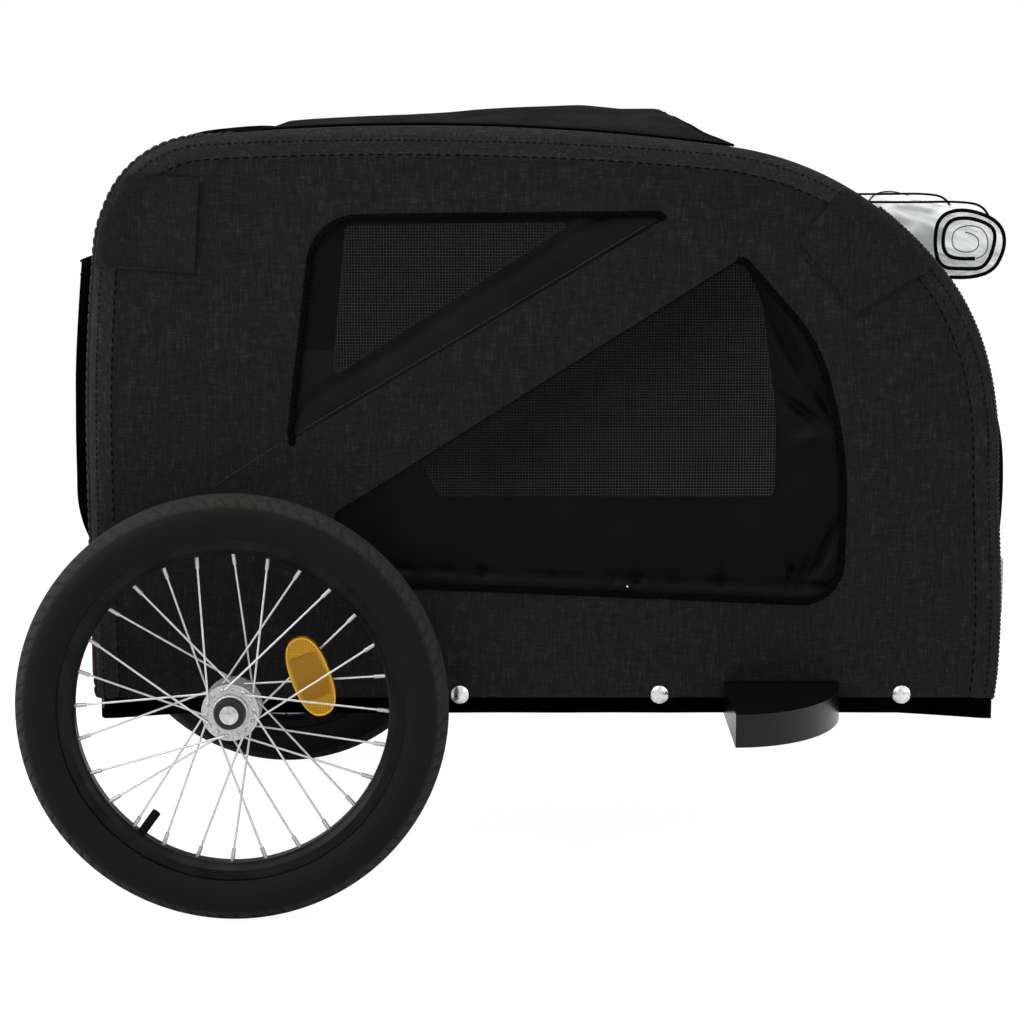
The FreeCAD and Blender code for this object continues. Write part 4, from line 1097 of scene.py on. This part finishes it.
def bag(p):
    """Points crowd towards the gussets, which stand square to the rear face."""
    s = p.x * 2
    u = 1.5 * s - 0.5 * s ** 3
    v = p.y + 0.5
    y = POCKET[0] * u
    z = POCKET[1] + (POCKET[2] - POCKET[1]) * v
    belly = 17.2 - (max(0.0, 391 - z) / 15) ** 2
    gusset = max(0.0, 1 - abs(u) ** 60) ** 0.5 * max(0.0, 1 - (1 - v) ** 40) ** 0.5
    wave = 0.8 * noise.noise(Vector((y * 0.02, z * 0.02, 2.2)))
    return place(REAR_X - rear_bow(z) - 0.8 - gusset * (belly + wave), y, z)


pocket = grid("pocket_bag", 90, 60, bag)
fit(backed(pocket, (-1, 0, 0), 1.2, 60), "frame", CANVAS, "black_cloth", "rear_pocket")
mouth_line = [bag(Vector((-0.5 + k / 90, 0.497, 0))) + Vector((-0.0006, 0, 0)) for k in range(91)]
fit(tube("pocket_hem", mouth_line, 1.0, 3), "frame", BINDING, "black_cloth")
hem_line = [bag(Vector((-0.48 + 0.96 * k / 60, 0.45, 0))) + Vector((-0.0004, 0, 0)) for k in range(61)]
fit(stitched("pocket_stitches", [(STITCH, 8.8, hem_line)]), "frame", THREAD, "black_cloth")

# Hem strip below the cover

corners = ((REAR_X + 0.9, -HALF + 0.9, 9), (FRONT_X + 1.0, -HALF + 0.9, 6),
           (FRONT_X + 1.0, HALF - 0.9, 6), (REAR_X + 0.9, HALF - 0.9, 9))
line = soft_corners(corners, 6)
line = even([*line, line[0]], 9.0)
skirt = begin("hem_strip", bpy.ops.mesh.primitive_cylinder_add, vertices=len(line), radius=1, depth=1,
              end_fill_type="NOTHING")
hold(skirt)
bpy.ops.mesh.bisect(plane_co=(0, 0, 0), plane_no=(0, 0, 1))
let_go()


def hang(p):
    """One point of the plain ring, laid on the hem with small waves at its free edge."""
    k = round(math.atan2(p.y, p.x) / (2 * math.pi) * len(line)) % len(line)
    x, y = line[k]
    wave = 0.4 * math.sin(k * 0.55) * (0.5 - p.z)
    droop = (0.5 - p.z) * 6.0 * (clamp((REAR_X + 90 - x) / 90) + clamp((x - FRONT_X + 90) / 90))
    tall = HEM_Z + 1.0 - SKIRT_Z
    return place(x, y + (wave if y > 0 else -wave), SKIRT_Z + tall * (p.z + 0.5) - droop)


thicken(weld(shape(skirt, hang)), 1.6)
fit(smooth(skirt, 40), "frame", CANVAS, "black_coated_cloth", "base_skirt")

# Rolled rain cover: clear film in two loose turns, its cut edges bound in black

# Spiral of the film round the roll's middle, first the bound turns, then the plain core
ROLL_TURNS = ((-16, -34.7), (19, -37), (36, -8), (30, 17), (-4, 29), (-28, 22), (-31, -6), (-25, -26),
              (-4, -27), (18, -27), (27, 4), (19, 15), (-4, 21), (-21, 16), (-24, -8), (-14, -19), (8, -17.4))
ROLL_CORE = ((8, -17.4), (19, -15), (18, 8), (2, 14), (-14, 9), (-15, -8), (0, -13), (11, -8), (9, 5), (-4, 7))
turns = [(ROLL_C[0] + p.x, ROLL_C[1] + p.y) for p in eased(ROLL_TURNS)]
core = [(ROLL_C[0] + p.x, ROLL_C[1] + p.y) for p in eased(ROLL_CORE)]
film, film_run = strip("rain_cover_film", turns + core[1:], 245.5, 230, 48)
shape(film, lambda p: p + Vector((0.0007, 0, 0.0010)) * noise.noise(Vector((p.x * 30, p.y * 22, p.z * 30))))
thicken(film, 0.6, 0)
fit(smooth(film, 60), "frame", FILM, "clear_film", "rain_cover_roll")
edges = [tube("film_edge", side_route(even(turns, 3.0), y), 1.75, 2) for y in (-245.6, 245.6)]
fit(join("film_binding", edges), "frame", BINDING, "black_cloth")

ends = [tube("film_end", side_route(even(core, 3.0), y), 0.6, 2) for y in (-245.4, 245.4)]
fit(join("film_cut_edge", ends), "frame", FILM_EDGE, "clear_film")

# Elastic ties round the roll

TIE_ROUTE = ((594, 657), (640, 656.5), (694, 657.5), (716, 653), (724, 632), (720, 606), (698, 586.4),
             (668, 577.5))
for side, y in (("right", -115), ("left", 115)):
    cord = bpy.data.curves.new("roll_tie_" + side, "CURVE")
    cord.dimensions = "3D"
    spline = cord.splines.new("NURBS")
    spline.points.add(len(TIE_ROUTE) - 1)
    for spot, (x, z) in zip(spline.points, TIE_ROUTE):
        spot.co = (*place(x, y, z), 1)
    spline.order_u = 3
    spline.use_endpoint_u = True
    cord.bevel_depth = 0.0012
    cord.bevel_resolution = 3
    cord.use_fill_caps = True
    tie = bpy.data.objects.new("roll_tie_" + side, cord)
    bpy.context.scene.collection.objects.link(tie)
    fit(tie, "frame", ELASTIC, "black_elastic", "roll_ties")

# Tyres: one stretch of the tread is shaped and set round the wheel

STRETCHES = 28
CUTS = (0.15, 0.46, 0.83)
TYRE_RING = 177.5
TYRE_SECTION = 22.4
TYRE_SWEEP = 140.0


def tread(p):
    """Half-round section with a ribbed crown, slanted shoulder cuts at uneven steps and rings on the wall."""
    s = p.x + 0.5
    turn = (p.y + 0.5) * 2 * math.pi / STRETCHES
    phi = (s - 0.5) * 2 * TYRE_SWEEP
    away = abs(phi)
    drop = 0.7 if abs(away - 9) < 2.6 else 0.0
    slant = (p.y + 0.5) + (away - 20) * 0.0045 * (1 if phi > 0 else -1)
    if 18 < away < 58 and min(abs((slant - cut + 0.5) % 1.0 - 0.5) for cut in CUTS) < 0.034:
        drop = 1.5 * min(1.0, (away - 18) / 6, (58 - away) / 6)
    if 66 < away < 70 or 118 < away < 122:
        drop = -0.4
    if away > 132:
        drop = -0.8
    r = TYRE_SECTION - max(0.0, drop) + max(0.0, -drop) * 0.4
    radius = TYRE_RING + r * math.cos(math.radians(phi))
    return Vector((radius * math.sin(turn), r * math.sin(math.radians(phi)), radius * math.cos(turn))) * 0.001


tyre = grid("tyre_tread_right", 116, 30, tread)
step = bpy.data.objects.new("stretch_step", None)
bpy.context.scene.collection.objects.link(step)
step.rotation_euler = (0, 2 * math.pi / STRETCHES, 0)
bpy.context.view_layer.update()
work(tyre, "ARRAY", count=STRETCHES, use_relative_offset=False, use_object_offset=True, offset_object=step)
bpy.data.objects.remove(step)
tyre.location = place(0, -WHEEL_Y, WHEEL_Z)
settle(tyre)
weld(tyre, 0.00002)
pair(smooth(tyre, 50), "wheel", RUBBER, "tyre_rubber", "tyre")

# Wheel reflectors: an oval amber lens with a sunk prism field between its plain ends

LENS_HALF = (18.0, 37.8)
LENS_FIELD = (15.2, 21.8)
LENS_DEPTH = 9.6
LENS_TILT = 20.0
LENS_PLACE = (79.0, 22.6)


def squared(p, half, power):
    """A point of a round outline moved to a squarer one of the given half sizes."""
    a = math.atan2(p.y, p.x)
    cos, sin = math.cos(a), math.sin(a)
    x = half[0] * math.copysign(abs(cos) ** (2 / power), cos)
    y = half[1] * math.copysign(abs(sin) ** (2 / power), sin)
    return Vector((x / 1000, y / 1000, p.z))


lens = begin("reflector_lens_right", bpy.ops.mesh.primitive_cylinder_add, vertices=96, radius=1,
             depth=LENS_DEPTH / 1000)
shape(lens, lambda p: squared(p, LENS_HALF, 2.5))
for half, power, sink in ((16.6, 36.2), 2.5, 1.0), (LENS_FIELD, 7.0, 1.0), ((14.5, 21.1), 7.0, 2.0):
    hold(lens, "FACE")
    pick(lens, lambda face: len(face.vertices) > 4)
    bpy.ops.mesh.inset(thickness=0.0005, depth=0)
    let_go()
    for face in lens.data.polygons:
        if face.select:
            for index in face.vertices:
                spot = lens.data.vertices[index]
                spot.co = squared(spot.co, half, power)
                spot.co.z = math.copysign(LENS_DEPTH / 2 - sink, spot.co.z) / 1000
fit(lens, "wheel_right", AMBER, "amber_reflector", "wheel_reflector_right")
lens.data.materials.append(AMBER_FIELD)
lens.data.materials.append(AMBER_RIM_HIGHLIGHT)
# The sloped ring round the lens top takes the brighter amber: a painted highlight
for face in lens.data.polygons:
    heights = [abs(lens.data.vertices[index].co.z) * 1000 for index in face.vertices]
    if len(heights) > 4:
        face.material_index = 1
    elif max(heights) - min(heights) > 0.5 and max(heights) > LENS_DEPTH / 2 - 0.1:
        face.material_index = 2
lens.rotation_euler = (math.radians(90), 0, 0)
settle(lens)
lens.rotation_euler = (0, math.radians(-LENS_TILT), 0)
lens.location = place(LENS_PLACE[0] * math.cos(math.radians(LENS_PLACE[1])), -WHEEL_Y,
                      WHEEL_Z + LENS_PLACE[0] * math.sin(math.radians(LENS_PLACE[1])))
settle(lens)
smooth(lens, 40)
left_lens = other_side(lens)
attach(left_lens, "wheel_left")
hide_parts("wheel_reflector_left")

# Hubs: a turned lip round the axle and the heads of the spokes on the outer flange

LIP_Y = -WHEEL_Y - 21.4
HEAD_Y = -WHEEL_Y - 18.9
HEAD_RING = 22.0
trim = [begin("lip", bpy.ops.mesh.primitive_torus_add, major_radius=0.0153, minor_radius=0.0011,
              major_segments=64, minor_segments=10)]
trim[0].rotation_euler = (math.radians(90), 0, 0)
trim[0].location = place(0, LIP_Y, WHEEL_Z)
settle(trim[0])
for k in range(14):
    a = math.radians(k * 360 / 14 + 6)
    head = begin("head", bpy.ops.mesh.primitive_uv_sphere_add, segments=12, ring_count=6, radius=0.0019)
    head.scale = (1, 0.6, 1)
    head.location = place(HEAD_RING * math.cos(a), HEAD_Y, WHEEL_Z + HEAD_RING * math.sin(a))
    settle(head)
    trim.append(head)
pair(smooth(join("hub_trim_right", trim), 80), "wheel", ALLOY, "bright_alloy")

# Finishes of the solids that keep their shape

dress(POWDER, "axle_beam", "base_cross_tubes", "roof_bars", *sides("base_rail"), *sides("diagonal_brace"),
      *sides("side_arch"), *sides("axle"), "tow_socket")
dress(PLASTIC, "corner_blocks", *sides("wheel_guard"), *sides("hub_bearings"))
dress(ZINC, "cover_screws", "guard_bolts", "roof_bar_bolts")
dress(BRASS, *sides("nipples"))
dress(PLY, "floor_board")
dress(CLEAR, "front_reflectors")
dress(RED, "rear_reflectors")
dress(ANODISED, *sides("rim"))
dress(STAINLESS, *sides("spokes"))
dress(ALLOY, *sides("hub"))
dress(CHROME, *sides("release_button"))
dress(TUBE_RUBBER, *sides("inner_tube"))

# Widths and heights of the borders and net grounds as cut, in metres

for border, size in borders:
    wide, tall = (0.355, 0.216) if border.name.startswith("upper") else (0.489, 0.331)
for ground, size in grounds:
    wide, tall = (0.220, 0.140) if ground.name.startswith("upper") else (0.326, 0.215)

for bead in (ROPE_BEAD, TIGHT_BEAD, FINE_BEAD, STITCH, SHORT_STITCH, PALE_STITCH, ZIP_TOOTH):
    bpy.data.objects.remove(bead)

# Studio: white floor and background, a broad key from the upper left, a fill, and strips that edge the hems


def floor_finish():
    """Matt white studio floor: it shows as the background's white and keeps a faint soft shadow."""
    made, tree, spot = blank("matt_white_floor")
    matt = add(tree, "BsdfDiffuse", {"Color": tint("#ffffff"), "Roughness": 0.9})
    glow = add(tree, "Emission", {"Color": (1, 1, 1, 1), "Strength": 1.12})
    seen = add(tree, "LightPath", {}, "Is Camera Ray")
    share = add(tree, "Math", {0: seen, 1: 0.85}, operation="MULTIPLY")
    mixed = add(tree, "MixShader", {0: share, 1: matt, 2: glow})
    add(tree, "OutputMaterial", {"Surface": mixed})
    return made


floor = begin("studio_floor", bpy.ops.mesh.primitive_plane_add, size=2000, location=(0, 0, -0.0005))
settle(floor)
floor.data.materials.append(floor_finish())

world = bpy.data.worlds.new("studio")
bpy.context.scene.world = world
world.use_nodes = True
sky = world.node_tree
sky.nodes.clear()
plain = add(sky, "Background", {"Color": (1, 1, 1, 1), "Strength": 0.28})
white = add(sky, "Background", {"Color": (1, 1, 1, 1), "Strength": 1.0})
camera_ray = add(sky, "LightPath", {}, "Is Camera Ray")
glossy_ray = add(sky, "LightPath", {}, "Is Glossy Ray")
through_ray = add(sky, "LightPath", {}, "Is Transmission Ray")
seen = add(sky, "Math", {0: camera_ray, 1: glossy_ray}, operation="MAXIMUM")
seen = add(sky, "Math", {0: seen, 1: through_ray}, operation="MAXIMUM")
mixed = add(sky, "MixShader", {0: seen, 1: plain, 2: white})
add(sky, "OutputWorld", {"Surface": mixed})


def lamp(name, spot, aim, size, power):
    """A square lamp at a spot, turned to a point on the trailer."""
    light = bpy.data.lights.new(name, "AREA")
    light.size = size
    light.energy = power
    obj = bpy.data.objects.new(name, light)
    bpy.context.scene.collection.objects.link(obj)
    obj.location = spot
    obj.rotation_euler = (Vector(aim) - Vector(spot)).to_track_quat("-Z", "Y").to_euler()


lamp("key_lamp", (-2.2, -2.6, 3.0), (0, 0, 0.35), 1.8, 60)
lamp("fill_lamp", (2.6, -2.4, 1.6), (0, 0, 0.35), 2.4, 14)
lamp("back_lamp", (0.4, 2.8, 2.6), (0, 0, 0.4), 2.0, 30)
lamp("left_strip", (-2.3, -0.5, 1.2), (0, -0.25, 0.5), 1.4, 38)
lamp("right_strip", (2.3, -0.5, 1.0), (0, -0.25, 0.5), 1.4, 20)
lamp("top_strip", (0, -0.5, 2.7), (0, -0.25, 0.6), 1.4, 40)

camera = bpy.data.cameras.new("camera")
camera.lens = 96.14
camera.sensor_width = 36
viewer = bpy.data.objects.new("camera", camera)
bpy.context.scene.collection.objects.link(viewer)
viewer.location = (-0.00505, -2.7766, 0.7544)
viewer.rotation_euler = (math.radians(90) - 0.1495, 0, -0.00138)
bpy.context.scene.camera = viewer
bpy.context.scene.view_settings.view_transform = "Standard"
